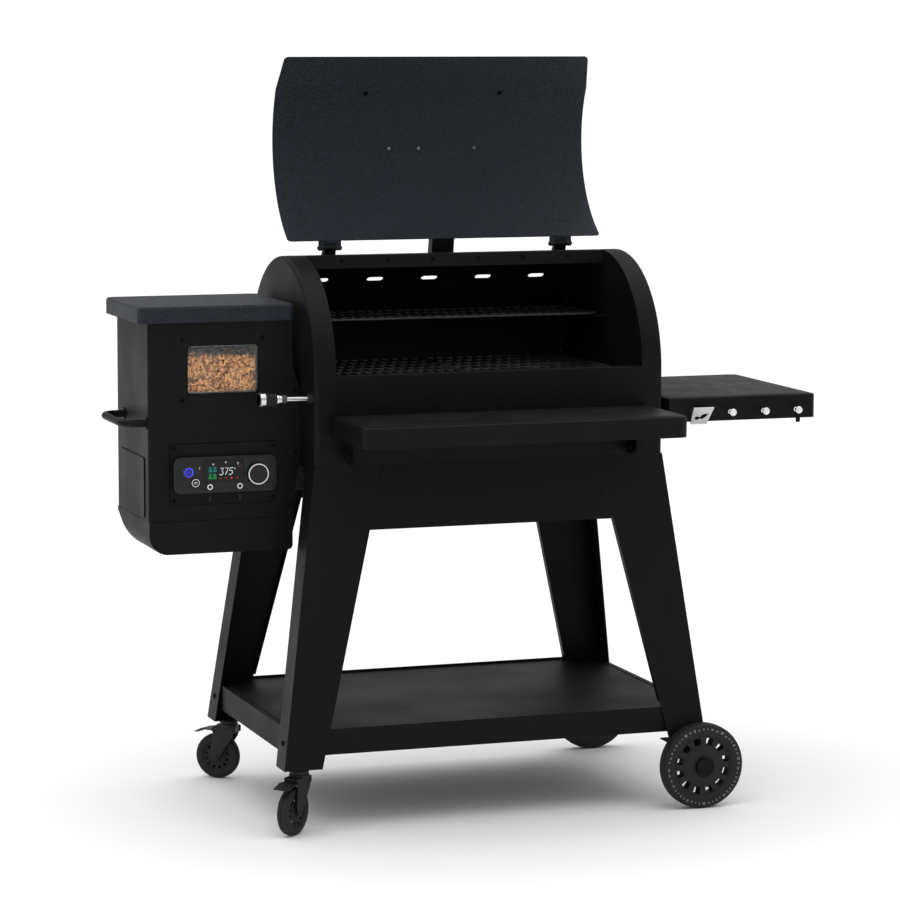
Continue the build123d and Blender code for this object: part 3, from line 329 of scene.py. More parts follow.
def brushed(name, base, low, high, scale=900.0, along=(0.03, 1, 1), dark=0.55):
    """Rolled or brushed bare steel, its lines drawn out along one axis."""
    shader = Shader(name, base, (low + high) / 2, Metallic=1.0)
    lines = shader.noise(scale, 3.0, 0.6, shader.stretched(*along))
    stains = shader.noise(14.0, 5.0, 0.6)
    shader.set("Roughness", lines.ramp(0.3, 0.7, low, high) + stains * 0.08)
    shader.base_between(stains.ramp(0.3, 0.75), base, brighter(base, dark))
    shader.bump(lines, 0.12, 0.0003)
    return shader.material


def fired_steel():
    """Steel round the fire: blued and sooted in patches."""
    shader = Shader("fired_steel", (0.11, 0.105, 0.10), 0.45, Metallic=0.9)
    soot = shader.noise(11.0, 6.0, 0.62)
    scale = shader.noise(160.0, 4.0, 0.6)
    shader.base_between(soot.ramp(0.38, 0.66), (0.10, 0.095, 0.092), (0.022, 0.018, 0.016))
    shader.set("Metallic", soot.ramp(0.35, 0.7, 0.95, 0.35))
    shader.set("Roughness", soot.ramp(0.3, 0.7, 0.35, 0.72) + scale * 0.08)
    shader.bump(scale, 0.25, 0.0004)
    return shader.material


def zinc_with_painted_shade():
    """Galvanised sheet with its large flat crystals, its colours kept dark as painted shade for the dim
    insides it lines.
    """
    shader = Shader("zinc_with_painted_shade", (0.42, 0.44, 0.46), 0.4, Metallic=1.0)
    crystals = shader.cells(95.0, "F1", "Color")
    tone = shader.add("ShaderNodeSeparateColor", None, {"Color": crystals})
    # Both crystal colours are far darker than bare zinc: painted shade.
    shader.base_between(tone, (0.12, 0.125, 0.13), (0.19, 0.20, 0.205))
    shader.set("Roughness", tone * 0.25 + 0.28)
    shader.bump(tone, 0.08, 0.0003)
    return shader.material


def grate_iron():
    """Cast iron under matt enamel: a sandy skin with greasy and dry places."""
    base = tuple(settings("finish").iron)
    shader = Shader("grate_iron", base, 0.5, Specular_IOR_Level=0.4)
    sand = shader.noise(700.0, 4.0, 0.65)
    grease = shader.noise(16.0, 4.0)
    shader.base_between(grease.ramp(0.35, 0.7), base, brighter(base, 2.0))
    shader.set("Roughness", grease.ramp(0.3, 0.7, 0.3, 0.62))
    shader.bump(sand, 0.5, 0.0006)
    return shader.material


def moulded(name, base, low, high, grain=1100.0, depth=0.0003, level=0.3):
    """Moulded plastic with a fine spark-eroded grain."""
    shader = Shader(name, base, (low + high) / 2, Specular_IOR_Level=level)
    skin = shader.noise(grain, 2.0, 0.55)
    handled = shader.noise(22.0, 4.0)
    shader.set("Roughness", handled.ramp(0.3, 0.7, low, high) + skin * 0.04)
    shader.base_between(handled.ramp(0.4, 0.8), base, brighter(base, 1.45))
    shader.bump(skin, 0.3, depth)
    return shader.material


def lit(name, base, strength):
    """A lit mark on the display, a little uneven as if lit from behind by one lamp. The pale rings are made
    with it too, and their glow is painted light.
    """
    shader = Shader(name, base, 0.4, Emission_Strength=strength, Specular_IOR_Level=0.1)
    glow = shader.noise(180.0, 2.0)
    shader.set("Emission Color", shader.mix(glow.ramp(0.2, 0.8), brighter(base, 0.8), base))
    return shader.material


def pane_glass():
    """Clear pane: nearly nothing of its own but its shine and a haze of dust."""
    shader = Shader("pane_glass", (0.5, 0.52, 0.53), 0.05)
    haze = shader.noise(24.0, 5.0, 0.6)
    shader.set("Alpha", haze.ramp(0.35, 0.8, 0.05, 0.10))
    shader.set("Roughness", haze.ramp(0.35, 0.8, 0.03, 0.12))
    return shader.material


def pellet_wood():
    """Pressed sawdust: each pellet has its own tone, with fibres and cracks across it; the heap's inner
    block takes the dark end, which is painted shade.
    """
    wood = tuple(settings("pellets").wood)
    dark = tuple(settings("pellets").dark_wood_and_shade)
    shader = Shader("pellet_wood", wood, 0.7, Specular_IOR_Level=0.25)
    own = shader.add("ShaderNodeAttribute", {"attribute_name": "tone"}, None, "Fac")
    fibre = shader.noise(900.0, 4.0, 0.65)
    shader.base_between((own * 0.8 + fibre * 0.3).ramp(0.05, 0.75), dark, wood)
    shader.set("Roughness", fibre.ramp(0.3, 0.7, 0.5, 0.8))
    shader.bump(fibre, 0.5, 0.0006)
    return shader.material


def circuit_board():
    """Green solder mask with paler copper tracks under it."""
    shader = Shader("circuit_board", (0.01, 0.05, 0.02), 0.35)
    tracks = shader.cells(240.0, "DISTANCE_TO_EDGE")
    shader.base_between(tracks.ramp(0.02, 0.06), (0.02, 0.12, 0.045), (0.006, 0.04, 0.016))
    shader.bump(tracks, 0.2, 0.0003)
    return shader.material


def make_finishes():
    """Every finish by its short name."""
    finish = settings("finish")
    plastic = tuple(finish.plastic)
    return {
        "coat": powder_coat(),
        "wrinkle": wrinkle_coat(),
        "hammered": hammered_coat(),
        "chrome": chrome(),
        "stainless": brushed("stainless", tuple(finish.stainless), 0.2, 0.42),
        "steel": brushed("rolled_steel", (0.30, 0.29, 0.28), 0.3, 0.5),
        "blackened": moulded("blackened_steel", (0.0012, 0.0012, 0.0012), 0.5, 0.65,
                             800.0, 0.0003, 0.06),
        "shelf_skin": moulded("shelf_skin", (0.0068, 0.0068, 0.0070), 0.42, 0.52,
                              620.0, 0.0006, 0.095),
        "fired": fired_steel(),
        "zinc_with_painted_shade": zinc_with_painted_shade(),
        "iron": grate_iron(),
        "plastic": moulded("satin_plastic", plastic, 0.36, 0.5),
        "grip": moulded("grip_rubber", (0.008, 0.008, 0.008), 0.55, 0.7, 700.0, 0.0006),
        "tyre": moulded("wheel_plastic", tuple(finish.tyre), 0.5, 0.66, 650.0, 0.0005, 0.25),
        "tread_mark": moulded("tread_mark", (0.13, 0.13, 0.13), 0.5, 0.7),
        "smoke_glass": moulded("smoked_display", (0.0045, 0.0045, 0.005), 0.3, 0.4,
                               400.0, 0.0001, 0.25),
        "white_mark": lit("white_mark", (0.70, 0.72, 0.74), 0.45),
        # The pale rings glow a little though no lamp is behind them: painted light.
        "white_ring": lit("white_ring", (0.62, 0.63, 0.64), 0.12),
        "blue_mark": lit("blue_mark", (0.045, 0.055, 0.80), 1.0),
        "teal_mark": lit("teal_mark", (0.01, 0.17, 0.18), 0.5),
        "green_mark": lit("green_mark", (0.01, 0.22, 0.05), 0.5),
        "red_mark": lit("red_mark", (0.42, 0.03, 0.03), 0.5),
        "grey_mark": moulded("grey_print", (0.05, 0.05, 0.05), 0.4, 0.6),
        "glass": pane_glass(),
        "pellet": pellet_wood(),
        "board": circuit_board(),
    }


# ---- mesh making -----------------------------------------------------------------------------
def shade(mesh, degrees=32):
    """Smooth shading, with the edges sharper than this kept crisp."""
    mesh.shade_smooth()
    mesh.set_sharp_from_angle(angle=math.radians(degrees))


def square_to(axis):
    """Two directions square to an axis and to each other."""
    axis = axis.normalized()
    other = AXES["z"] if abs(axis.z) < 0.9 else AXES["x"]
    first = axis.cross(other).normalized()
    return first, axis.cross(first).normalized()


class Shape:
    """The faces of one piece, in millimetres from the barrel's middle, or from where it is placed."""

    def __init__(self, placed=None):
        self.mesh = bmesh.new()
        self.placed = placed or Matrix.Identity(4)

    def face_ring(self, lower, upper):
        for k, corner in enumerate(lower):
            after = (k + 1) % len(lower)
            self.mesh.faces.new((corner, lower[after], upper[after], upper[k]))

    def strip(self, lower, upper):
        """Faces between two open rows of corners."""
        for k in range(len(lower) - 1):
            self.mesh.faces.new((lower[k], lower[k + 1], upper[k + 1], upper[k]))

    def points(self, places):
        return [self.mesh.verts.new(self.placed @ Vector(place)) for place in places]

    def block(self, low, high, round_by=0.0):
        """A box between two corners, its edges rounded."""
        low, high = Vector(low), Vector(high)
        middle, size = (low + high) / 2, high - low
        made = bmesh.ops.create_cube(self.mesh, size=1.0)["verts"]
        for corner in made:
            corner.co = self.placed @ (middle + Vector(c * s for c, s in zip(corner.co, size)))
        if round_by:
            edges = list({edge for corner in made for edge in corner.link_edges})
            bmesh.ops.bevel(self.mesh, geom=edges, offset=round_by, segments=2,
                            profile=0.5, affect="EDGES")

    def turned(self, start, axis, outline, sides=48):
        """A body of revolution: outline is (distance along the axis, radius), from end to end."""
        start, axis = Vector(start), Vector(axis).normalized()
        first, second = square_to(axis)
        rings = []
        for along, radius in outline:
            middle = start + axis * along
            if radius < 1e-6:
                rings.append(self.points([middle]))
            else:
                rings.append(self.points(middle + first * across + second * up
                                         for across, up in circle((0, 0), radius, sides)))
        for lower, upper in zip(rings, rings[1:]):
            self.join_rings(lower, upper)
        if outline[0] == outline[-1]:
            return
        for ring in (rings[0], rings[-1]):
            if len(ring) > 2:
                self.mesh.faces.new(ring)

    def join_rings(self, lower, upper):
        if len(lower) == len(upper):
            self.face_ring(lower, upper)
            return
        tip, ring = (lower[0], upper) if len(lower) == 1 else (upper[0], lower)
        for k, corner in enumerate(ring):
            self.mesh.faces.new((tip, corner, ring[(k + 1) % len(ring)]))

    def rod(self, start, end, radius, sides=32, round_by=0.6):
        """A round bar with softly rounded ends."""
        start, end = Vector(start), Vector(end)
        reach = (end - start).length
        inner = radius - round_by
        half = round_by * 0.3
        outline = [(0, 0), (0, inner), (half, radius - half), (round_by, radius),
                   (reach - round_by, radius), (reach - half, radius - half), (reach, inner), (reach, 0)]
        self.turned(start, end - start, outline, sides)

    def ring(self, centre, axis, inner, outer, thick, sides=64):
        """A flat ring with soft edges."""
        soft = min(thick, outer - inner) * 0.25
        outline = [(0, inner), (0, outer - soft), (soft, outer), (thick - soft, outer),
                   (thick, outer - soft), (thick, inner), (0, inner)]
        self.turned(centre, axis, outline, sides)

    def tube(self, path, radius, sides=16):
        """A round bar along a line of points."""
        path = [Vector(place) for place in path]
        rings = []
        side = square_to(path[1] - path[0])[0]
        for k, place in enumerate(path):
            before, after = path[max(k - 1, 0)], path[min(k + 1, len(path) - 1)]
            ahead = (after - before).normalized()
            side = (side - ahead * side.dot(ahead)).normalized()
            across = ahead.cross(side)
            rings.append(self.points(place + (side * math.cos(2 * math.pi * s / sides)
                                              + across * math.sin(2 * math.pi * s / sides)) * radius
                                     for s in range(sides)))
        for lower, upper in zip(rings, rings[1:]):
            self.face_ring(lower, upper)
        self.mesh.faces.new(rings[0])
        self.mesh.faces.new(rings[-1])

    def plate(self, outlines, plane, thick, soft=0.0):
        """A flat plate cut along closed outlines: the first is its edge, the others are its holes.

        plane takes the outline's two measures to their place, and the plate grows along its third.
        """
        curve = bpy.data.curves.new("cut", "CURVE")
        curve.dimensions = "2D"
        curve.fill_mode = "BOTH"
        curve.extrude = thick / 2 - soft
        curve.bevel_depth = soft
        curve.bevel_resolution = 2
        curve.offset = -soft
        for outline in outlines:
            spline = curve.splines.new("POLY")
            spline.points.add(len(outline) - 1)
            for point, (across, up) in zip(spline.points, outline):
                point.co = (across, up, 0, 1)
            spline.use_cyclic_u = True
        holder = bpy.data.objects.new("cut", curve)
        flat = bpy.data.meshes.new_from_object(holder)
        flat.transform(self.placed @ plane @ Matrix.Translation((0, 0, thick / 2)))
        self.mesh.from_mesh(flat)
        for datum in (holder, flat):
            (bpy.data.objects if datum is holder else bpy.data.meshes).remove(datum)
        bpy.data.curves.remove(curve)

    def write(self, name, finish, body, slot, replaces=()):
        """Make the object, in metres, riding on its body."""
        bmesh.ops.remove_doubles(self.mesh, verts=self.mesh.verts, dist=0.0005)
        bmesh.ops.recalc_face_normals(self.mesh, faces=self.mesh.faces)
        mesh = bpy.data.meshes.new(name)
        self.mesh.to_mesh(mesh)
        self.mesh.free()
        mesh.transform(Matrix.Translation(BARREL) @ Matrix.Scale(MM, 4))
        mesh.materials.append(FINISHES[finish])
        shade(mesh)
        piece = bpy.data.objects.new(name, mesh)
        bpy.context.scene.collection.objects.link(piece)
        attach(piece, body)
        if replaces:
            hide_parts(*replaces)
        return piece


def rounded(low, high, radius, steps=6):
    """The outline of a rectangle with rounded corners, run anticlockwise."""
    (x0, y0), (x1, y1) = low, high
    radius = min(radius, (x1 - x0) / 2, (y1 - y0) / 2)
    corners = (((x1 - radius, y1 - radius), 0), ((x0 + radius, y1 - radius), 90),
               ((x0 + radius, y0 + radius), 180), ((x1 - radius, y0 + radius), 270))
    return [(x + radius * math.cos(math.radians(start + 90 * k / steps)),
             y + radius * math.sin(math.radians(start + 90 * k / steps)))
            for (x, y), start in corners for k in range(steps + 1)]


def circle(centre, radius, sides=32):
    return [(centre[0] + radius * math.cos(2 * math.pi * k / sides),
             centre[1] + radius * math.sin(2 * math.pi * k / sides)) for k in range(sides)]


def facing_front(y):
    """A plane at y whose measures are X and height, growing forwards."""
    return Matrix(((1, 0, 0, 0), (0, 0, -1, y), (0, 1, 0, 0), (0, 0, 0, 1)))


def facing_right(x):
    """A plane at x whose measures are Y and height, growing to the right."""
    return Matrix(((0, 0, 1, x), (1, 0, 0, 0), (0, 1, 0, 0), (0, 0, 0, 1)))


def facing_up(z):
    return Matrix.Translation((0, 0, z))


# ---- CAD pieces that keep their shape ---------------------------------------------------------
COATED = ("access_panel", "aprons", "end_cap_left", "end_cap_right", "front_panel", "hopper_base",
          "hopper_body", "hopper_hinge", "leg_front_left", "leg_front_right", "leg_rear_left",
          "leg_rear_right", "lid_hinge_leaves", "lid_stop", "rear_shell", "shelf_brackets",
          "wheel_axles", "rack_hangers", "hopper_handle")
CAD_FINISH = {
    **{node: "coat" for node in COATED},
    "front_shelf": "wrinkle", "side_shelf": "wrinkle", "lower_shelf": "wrinkle",
    "hopper_lid": "hammered", "screws": "blackened", "temp_probe": "stainless",
    "igniter": "stainless", "auger": "steel", "auger_tube": "steel", "burn_pot": "fired",
    "broiler_plate": "fired", "bottom_pan": "fired", "broiler_slide": "fired",
    "hopper_bin": "zinc_with_painted_shade", "fan_housing": "zinc_with_painted_shade", "auger_motor": "zinc_with_painted_shade", "fan_impeller": "zinc_with_painted_shade",
    "control_bezel": "coat", "power_inlet": "plastic", "control_board": "board",
    "window_pane": "glass", "probe_jacks": "plastic",
}
SOFT_EDGE = {"leg_front_left": 1.6, "leg_front_right": 1.6, "leg_rear_left": 1.6, "leg_rear_right": 1.6,
             "aprons": 0.6, "lower_shelf": 0.9, "hopper_base": 0.5, "hopper_body": 0.5,
             "front_panel": 0.6, "lid_stop": 0.8, "lid_hinge_leaves": 0.8, "shelf_brackets": 0.8,
             "control_bezel": 0.6, "access_panel": 0.6, "screws": 0.7}


class GRILL_OT_finish_frame(bpy.types.Operator):
    """Give every CAD piece its finish and soften its folded edges"""
    bl_idname = "grill.finish_frame"
    bl_label = "Finish the sheet metal"

    def execute(self, context):
        for node, piece in frame["nodes"].items():
            finish = CAD_FINISH.get(node, "plastic")
            piece.data.materials.clear()
            piece.data.materials.append(FINISHES[finish])
            shade(piece.data, 24)
            if node in SOFT_EDGE:
                soft = piece.modifiers.new("soft edges", "BEVEL")
                soft.width = SOFT_EDGE[node] * MM
                soft.segments = 2
                soft.limit_method = "ANGLE"
                soft.angle_limit = math.radians(40)
                soft.harden_normals = True
        return {"FINISHED"}


# ---- lid --------------------------------------------------------------------------------------
LID_HALF = node_box("main_lid")[1].x
LID_PIVOT, _, LID_JOINT = joint("lid_hinge")
LID_OPEN = math.radians(LID_JOINT["range_deg"][1])
LID_R = BARREL_R + 1.5         # inner radius of the sheet
LID_START = math.radians(80.3)     # of the closed lid, from the back round over the top
LID_END = math.radians(166.0)
LID_ARC = (LID_END - LID_START) * LID_R
LID_SKIRT = 80.0               # the straight strip past the arc, which narrows to its end
LID_TIP_HALF = 357.5
PANEL_HALF = 320.0
PANEL_LOW, PANEL_HIGH = 51.0, 393.0
PANEL_CORNER = 14.0
TAB_X = 272.0                  # each hinge's middle
STRAP_HALF = 26.0
KNUCKLE_GAP = 14.3             # from a hinge's middle to its inner edge
KNUCKLE_LONG = 11.7
KNUCKLE = [(0, 3.1), (0, 5.4), (0.6, 6.0), (11.1, 6.0), (KNUCKLE_LONG, 5.4), (KNUCKLE_LONG, 3.1),
           (0, 3.1)]
STUD_X, STUD_AT = (-97.0, -27.0, 106.0), 237.5
STUD = [(0, 3.4), (0.8, 3.4), (1.0, 2.4), (4.6, 2.4), (5.4, 1.6), (5.4, 0)]
HANDLE_X, HANDLE_AT, HANDLE_STAND = (-159.0, 159.0), 366.0, 46.0
HANDLE_BOLT = [(0, 0), (0, 5.2), (0.8, 5.2), (1.6, 4.4), (1.9, 2.6), (1.2, 2.2), (1.2, 0)]
HANDLE_POST = [(0, 0), (0, 8.9), (2.0, 8.9), (3.5, 7.4), (8, 6.6), (30, 6.6), (38, 8.2), (42, 8.2), (42, 0)]
BAR_END = [(0, 0), (0, 6.5), (1.2, 9.2), (3.5, 10.6), (6, 11.0)]


def lid_place(along, x, off):
    """A place on the open lid: along its section from the hinge edge, across, and off its inner face."""
    angle = LID_START + min(along, LID_ARC) / LID_R
    past = max(along - LID_ARC, 0.0)
    radius = LID_R + off
    y = radius * math.cos(angle) - past * math.sin(angle)
    z = BARREL_AXIS_Z + radius * math.sin(angle) + past * math.cos(angle)
    from_pivot = Vector((0, y - LID_PIVOT.y, z - LID_PIVOT.z))
    turned = Matrix.Rotation(-LID_OPEN, 3, "X") @ from_pivot
    return Vector((x, LID_PIVOT.y + turned.y, LID_PIVOT.z + turned.z))


def inside_panel(x, along, half, low, high, radius):
    """How far a point lies inside a rounded rectangle, negative outside."""
    dx = abs(x) - (half - radius)
    dy = abs(along - (low + high) / 2) - ((high - low) / 2 - radius)
    outside = math.hypot(max(dx, 0), max(dy, 0)) + min(max(dx, dy), 0)
    return radius - outside


def smooth_step(share_of):
    share_of = min(max(share_of, 0.0), 1.0)
    return share_of * share_of * (3 - 2 * share_of)


def spread_with(low, high, step, fine_at, fine, reach):
    """Even stops between two ends, with finer ones round some places."""
    count = math.ceil((high - low) / step)
    values = {round(low + (high - low) * k / count, 4) for k in range(count + 1)}
    for place in fine_at:
        values |= {round(place - reach + fine * k, 4) for k in range(int(2 * reach / fine) + 1)
                   if low < place - reach + fine * k < high}
    return sorted(values)


class GRILL_OT_lid(bpy.types.Operator):
    """Press the lid's sheet with its raised panel, and add the tabs, studs and handle"""
    bl_idname = "grill.lid"
    bl_label = "Lid"

    def execute(self, context):
        lid = settings("lid")
        thick, lift, step, corner = (getattr(lid, name) / MM
                                     for name in ("thickness", "lift", "step", "corner"))
        total = LID_ARC + LID_SKIRT
        fine, reach = 0.6, 3.0
        round_off = {corner * (1 - math.cos(math.radians(a))) for a in range(0, 91, 15)}
        rows = set(spread_with(0, total, 9.0, (PANEL_LOW, PANEL_HIGH), fine, reach))
        rows = sorted(rows | round_off | {total - edge for edge in round_off})
        across = spread_with(-1, 1, 0.03, (-PANEL_HALF / LID_HALF, PANEL_HALF / LID_HALF),
                             fine / LID_HALF, reach / LID_HALF)

        def half_width(along):
            half = LID_HALF - max(along - LID_ARC, 0) / LID_SKIRT * (LID_HALF - LID_TIP_HALF)
            near = min(along, total - along)
            if near < corner:
                half -= corner - math.sqrt(corner ** 2 - (corner - near) ** 2)
            return half

        shape = Shape()

        def sheet(off):
            """One face of the sheet, as rows of corners."""
            grid = []
            for along in rows:
                row = []
                for part in across:
                    x = part * half_width(along)
                    depth = inside_panel(x, along, PANEL_HALF, PANEL_LOW, PANEL_HIGH, PANEL_CORNER)
                    press = lift * smooth_step(depth / step + 0.5)
                    row.append(lid_place(along, x, off - press))
                grid.append(shape.points(row))
            for one, two in zip(grid, grid[1:]):
                shape.strip(one, two)
            return grid

        inner, outer = sheet(0.0), sheet(thick)
        for end in (0, -1):
            shape.strip(inner[end], outer[end])
        for end in (0, -1):
            shape.strip([row[end] for row in inner], [row[end] for row in outer])
        self.add_tabs(shape, thick)
        shape.write("lid_shell", "hammered", "lid", "hammered_grey", ("main_lid",))
        self.add_studs()
        self.add_handle(thick)
        return {"FINISHED"}

    @staticmethod
    def add_tabs(shape, thick):
        """At each hinge, a strap from the sheet down to the two knuckles that ride on the pin."""
        pin = LID_PIVOT
        for x in (-TAB_X, TAB_X):
            for start in (x - STRAP_HALF, x + KNUCKLE_GAP):
                shape.turned((start, pin.y, pin.z), AXES["x"], KNUCKLE, 32)
                shape.block((start, pin.y - 2.2, pin.z + 4.6),
                            (start + KNUCKLE_LONG, pin.y + 1.4, pin.z + 12), 0.5)
            edge = lid_place(0.5, x, thick * 0.5)
            up = (lid_place(14, x, thick * 0.5) - edge).normalized()
            out = Vector((0, -up.z, up.y))
            low = Vector((x, pin.y - 0.4, pin.z + 7.0))
            strap = [low - out * 1.2, edge - out * 1.2, edge + up * 12 - out * 1.2,
                     edge + up * 12 + out * 1.3, edge + out * 1.3, low + out * 1.3]
            ends = [shape.points([point + Vector((reach, 0, 0)) for point in strap])
                    for reach in (-STRAP_HALF, STRAP_HALF)]
            shape.face_ring(*ends)
            for end in ends:
                shape.mesh.faces.new(end)

    @staticmethod
    def add_studs():
        """Three weld studs and the two bolt heads that hold the handle, on the inner face."""
        for name, places, along, depth, outline, sides, finish, slot in (
                ("lid_studs", STUD_X, STUD_AT, -2.0, STUD, 20, "steel", "bare_steel"),
                ("handle_bolts", HANDLE_X, HANDLE_AT, -2.1, HANDLE_BOLT, 24, "blackened",
                 "black_powder_coat")):
            heads = Shape()
            for x in places:
                foot = lid_place(along, x, depth)
                heads.turned(foot, lid_place(along, x, -10.0) - foot, outline, sides)
            heads.write(name, finish, "lid", slot)

    @staticmethod
    def add_handle(thick):
        """A polished bar on two flanged stands, on the outside of the lid."""
        low, high = node_box("lid_handle")
        shape = Shape()
        bar = lid_place(HANDLE_AT, 0, thick + HANDLE_STAND)
        reach = high.x - low.x
        outline = BAR_END + [(reach - along, radius) for along, radius in reversed(BAR_END)]
        shape.turned((low.x, bar.y, bar.z), AXES["x"], outline, 48)
        for x in HANDLE_X:
            foot = lid_place(HANDLE_AT, x, thick + 0.2)
            shape.turned(foot, lid_place(HANDLE_AT, x, thick + HANDLE_STAND) - foot, HANDLE_POST, 36)
        shape.write("lid_handle_bar", "chrome", "lid", "chrome", ("lid_handle",))


# ---- grates -----------------------------------------------------------------------------------
BAR_PITCH = 24.0
BAR_WAIST, BAR_KNOT, BAR_FLARE = 2.6, 5.4, 14.0   # half widths between the ribs and at them
RIB_PITCH, RIB_HALF = 64.0, 3.2
GRATE_FRAME = 9.0
GRATE_GAP_HALF = 2.0
RACK_FRAME_R, RACK_ROD_R, RACK_CROSS_R = 2.6, 1.7, 2.2
RACK_PITCH = 22.0
RACK_INSET = 3.0


class GRILL_OT_grates(bpy.types.Operator):
    """Cast the two main grates and weld the wire rack"""
    bl_idname = "grill.grates"
    bl_label = "Grates and rack"

    def execute(self, context):
        self.main_grates(*node_box("main_grates"))
        self.rack(*node_box("upper_rack"))
        return {"FINISHED"}

    @staticmethod
    def main_grates(low, high):
        """Cast bars, wider where the ribs cross them, inside a plain frame."""
        shape = Shape()
        top, bottom = high.z, low.z
        for x0, x1 in ((low.x, -GRATE_GAP_HALF), (GRATE_GAP_HALF, high.x)):
            for y0 in (low.y, high.y - GRATE_FRAME):
                shape.block((x0, y0, bottom), (x1, y0 + GRATE_FRAME, top), 1.6)
            for edge in (x0, x1 - GRATE_FRAME):
                shape.block((edge, low.y, bottom), (edge + GRATE_FRAME, high.y, top), 1.6)
            bars = round((x1 - x0) / BAR_PITCH)
            pitch = (x1 - x0 - GRATE_FRAME) / bars
            ribs = round((high.y - low.y) / RIB_PITCH)
            rib_pitch = (high.y - low.y - GRATE_FRAME) / ribs
            for k in range(1, bars):
                middle = x0 + GRATE_FRAME / 2 + pitch * k
                for row in range(ribs):
                    start = low.y + GRATE_FRAME / 2 + rib_pitch * row
                    side = [(BAR_KNOT, start), (BAR_WAIST, start + BAR_FLARE),
                            (BAR_WAIST, start + rib_pitch - BAR_FLARE), (BAR_KNOT, start + rib_pitch)]
                    outline = [(middle - half, y) for half, y in side]
                    outline += [(middle + half, y) for half, y in reversed(side)]
                    shape.plate([outline], facing_up(bottom + 0.3), top - bottom - 0.6, 1.0)
            for row in range(1, ribs):
                y = low.y + GRATE_FRAME / 2 + rib_pitch * row
                shape.block((x0 + 4, y - RIB_HALF, bottom + 0.4), (x1 - 4, y + RIB_HALF, top - 0.8), 1.2)
        shape.write("cast_grates", "iron", "frame", "cast_iron", ("main_grates",))

    @staticmethod
    def rack(low, high):
        """Thin rods on two cross rods, with a frame rod all round."""
        top = low.z + 5
        z = top - RACK_FRAME_R
        (x0, y0), (x1, y1) = ((low.x + RACK_INSET, low.y + RACK_INSET),
                              (high.x - RACK_INSET, high.y - RACK_INSET))
        shape = Shape()
        loop = [(x, y, z) for x, y in rounded((x0, y0), (x1, y1), 14, 5)]
        shape.tube(loop + loop[:1], RACK_FRAME_R, 12)
        x = low.x + 14
        while x < high.x - 8:
            shape.rod((x, y0, top - 1.9), (x, y1, top - 1.9), RACK_ROD_R, 10, 0.3)
            x += RACK_PITCH
        for y in (low.y + 60, high.y - 60):
            shape.rod((x0, y, z - 1.4), (x1, y, z - 1.4), RACK_CROSS_R, 12, 0.3)
        shape.write("wire_rack", "iron", "frame", "cast_iron", ("upper_rack",))


# ---- pellets ------------------------------------------------------------------------------------
HEAP_HEIGHT = 98.0       # of the pellets over the window's lower edge
PELLET_SOFT = 0.5
SHEET_GAP = 1.5          # round the bezel and the service cover


class GRILL_OT_pellets(bpy.types.Operator):
    """Pour wood pellets behind the window and over the top of the heap"""
    bl_idname = "grill.pellets"
    bl_label = "Wood pellets"

    def execute(self, context):
        pellets = settings("pellets")
        low, high = node_box("hopper_bin")
        pane_low, pane_high = node_box("window_pane")
        level = pane_low.z + HEAP_HEIGHT
        dice = random.Random(7)
        radius = pellets.radius / MM
        shape = Shape()
        tones = []

        def drop(x, y, z, lean):
            """One pellet: a short rod lying about this place, with a tone of its own."""
            reach = dice.uniform(3.0, 5.2)
            turn = dice.uniform(0, 2 * math.pi)
            tilt = dice.gauss(0, lean)
            way = Vector((math.cos(turn) * math.cos(tilt), math.sin(turn) * math.cos(tilt), math.sin(tilt)))
            end = [(0, 0), (0, radius - PELLET_SOFT), (PELLET_SOFT, radius)]
            outline = end + [(2 * reach - along, r) for along, r in reversed(end)]
            before = len(shape.mesh.verts)
            shape.turned(Vector((x, y, z)) - way * reach, way, outline, 8)
            tones.extend([dice.random()] * (len(shape.mesh.verts) - before))

        for _ in range(pellets.front):
            x = dice.uniform(pane_low.x + 8, pane_high.x - 8)
            z = dice.uniform(pane_low.z + 8, level)
            drop(x, low.y + 2 + radius + dice.uniform(0, 9), z, 0.75)
        for _ in range(pellets.top):
            x = dice.uniform(low.x + 14, high.x - 14)
            y = dice.uniform(low.y + 14, high.y - 14)
            drop(x, y, level + dice.uniform(-7, 2) + 5 * math.sin(x / 47) * math.cos(y / 39), 0.35)
        # The heap's inside is one block with a low tone, so it takes the dark wood colour: painted shade for
        # the deep gaps between pellets.
        before = len(shape.mesh.verts)
        shape.block((low.x + 4, low.y + 17, pane_low.z - 10), (high.x - 4, high.y - 4, level - 6), 5.0)
        tones.extend([0.1] * (len(shape.mesh.verts) - before))
        layer = shape.mesh.verts.layers.float.new("tone")
        for corner, value in zip(shape.mesh.verts, tones):
            corner[layer] = value
        shape.write("wood_pellets", "pellet", "frame", "galvanised")
        self.window_gasket(pane_low, pane_high)
        return {"FINISHED"}

    @staticmethod
    def window_gasket(pane_low, pane_high):
        """A thin gasket that rounds the corners of the window."""
        across, up, wide = 14.2, 18.2, 1.6
        low = (pane_low.x + across, pane_low.z + up)
        high = (pane_high.x - across, pane_high.z - up)
        inner = rounded((low[0] + wide, low[1] + wide), (high[0] - wide, high[1] - wide), 7, 6)
        gasket = Shape()
        gasket.plate([rounded(low, high, 0.4, 2), inner], facing_front(pane_low.y - 0.1), wide, 0.3)
        gasket.write("window_gasket", "blackened", "frame", "black_powder_coat")


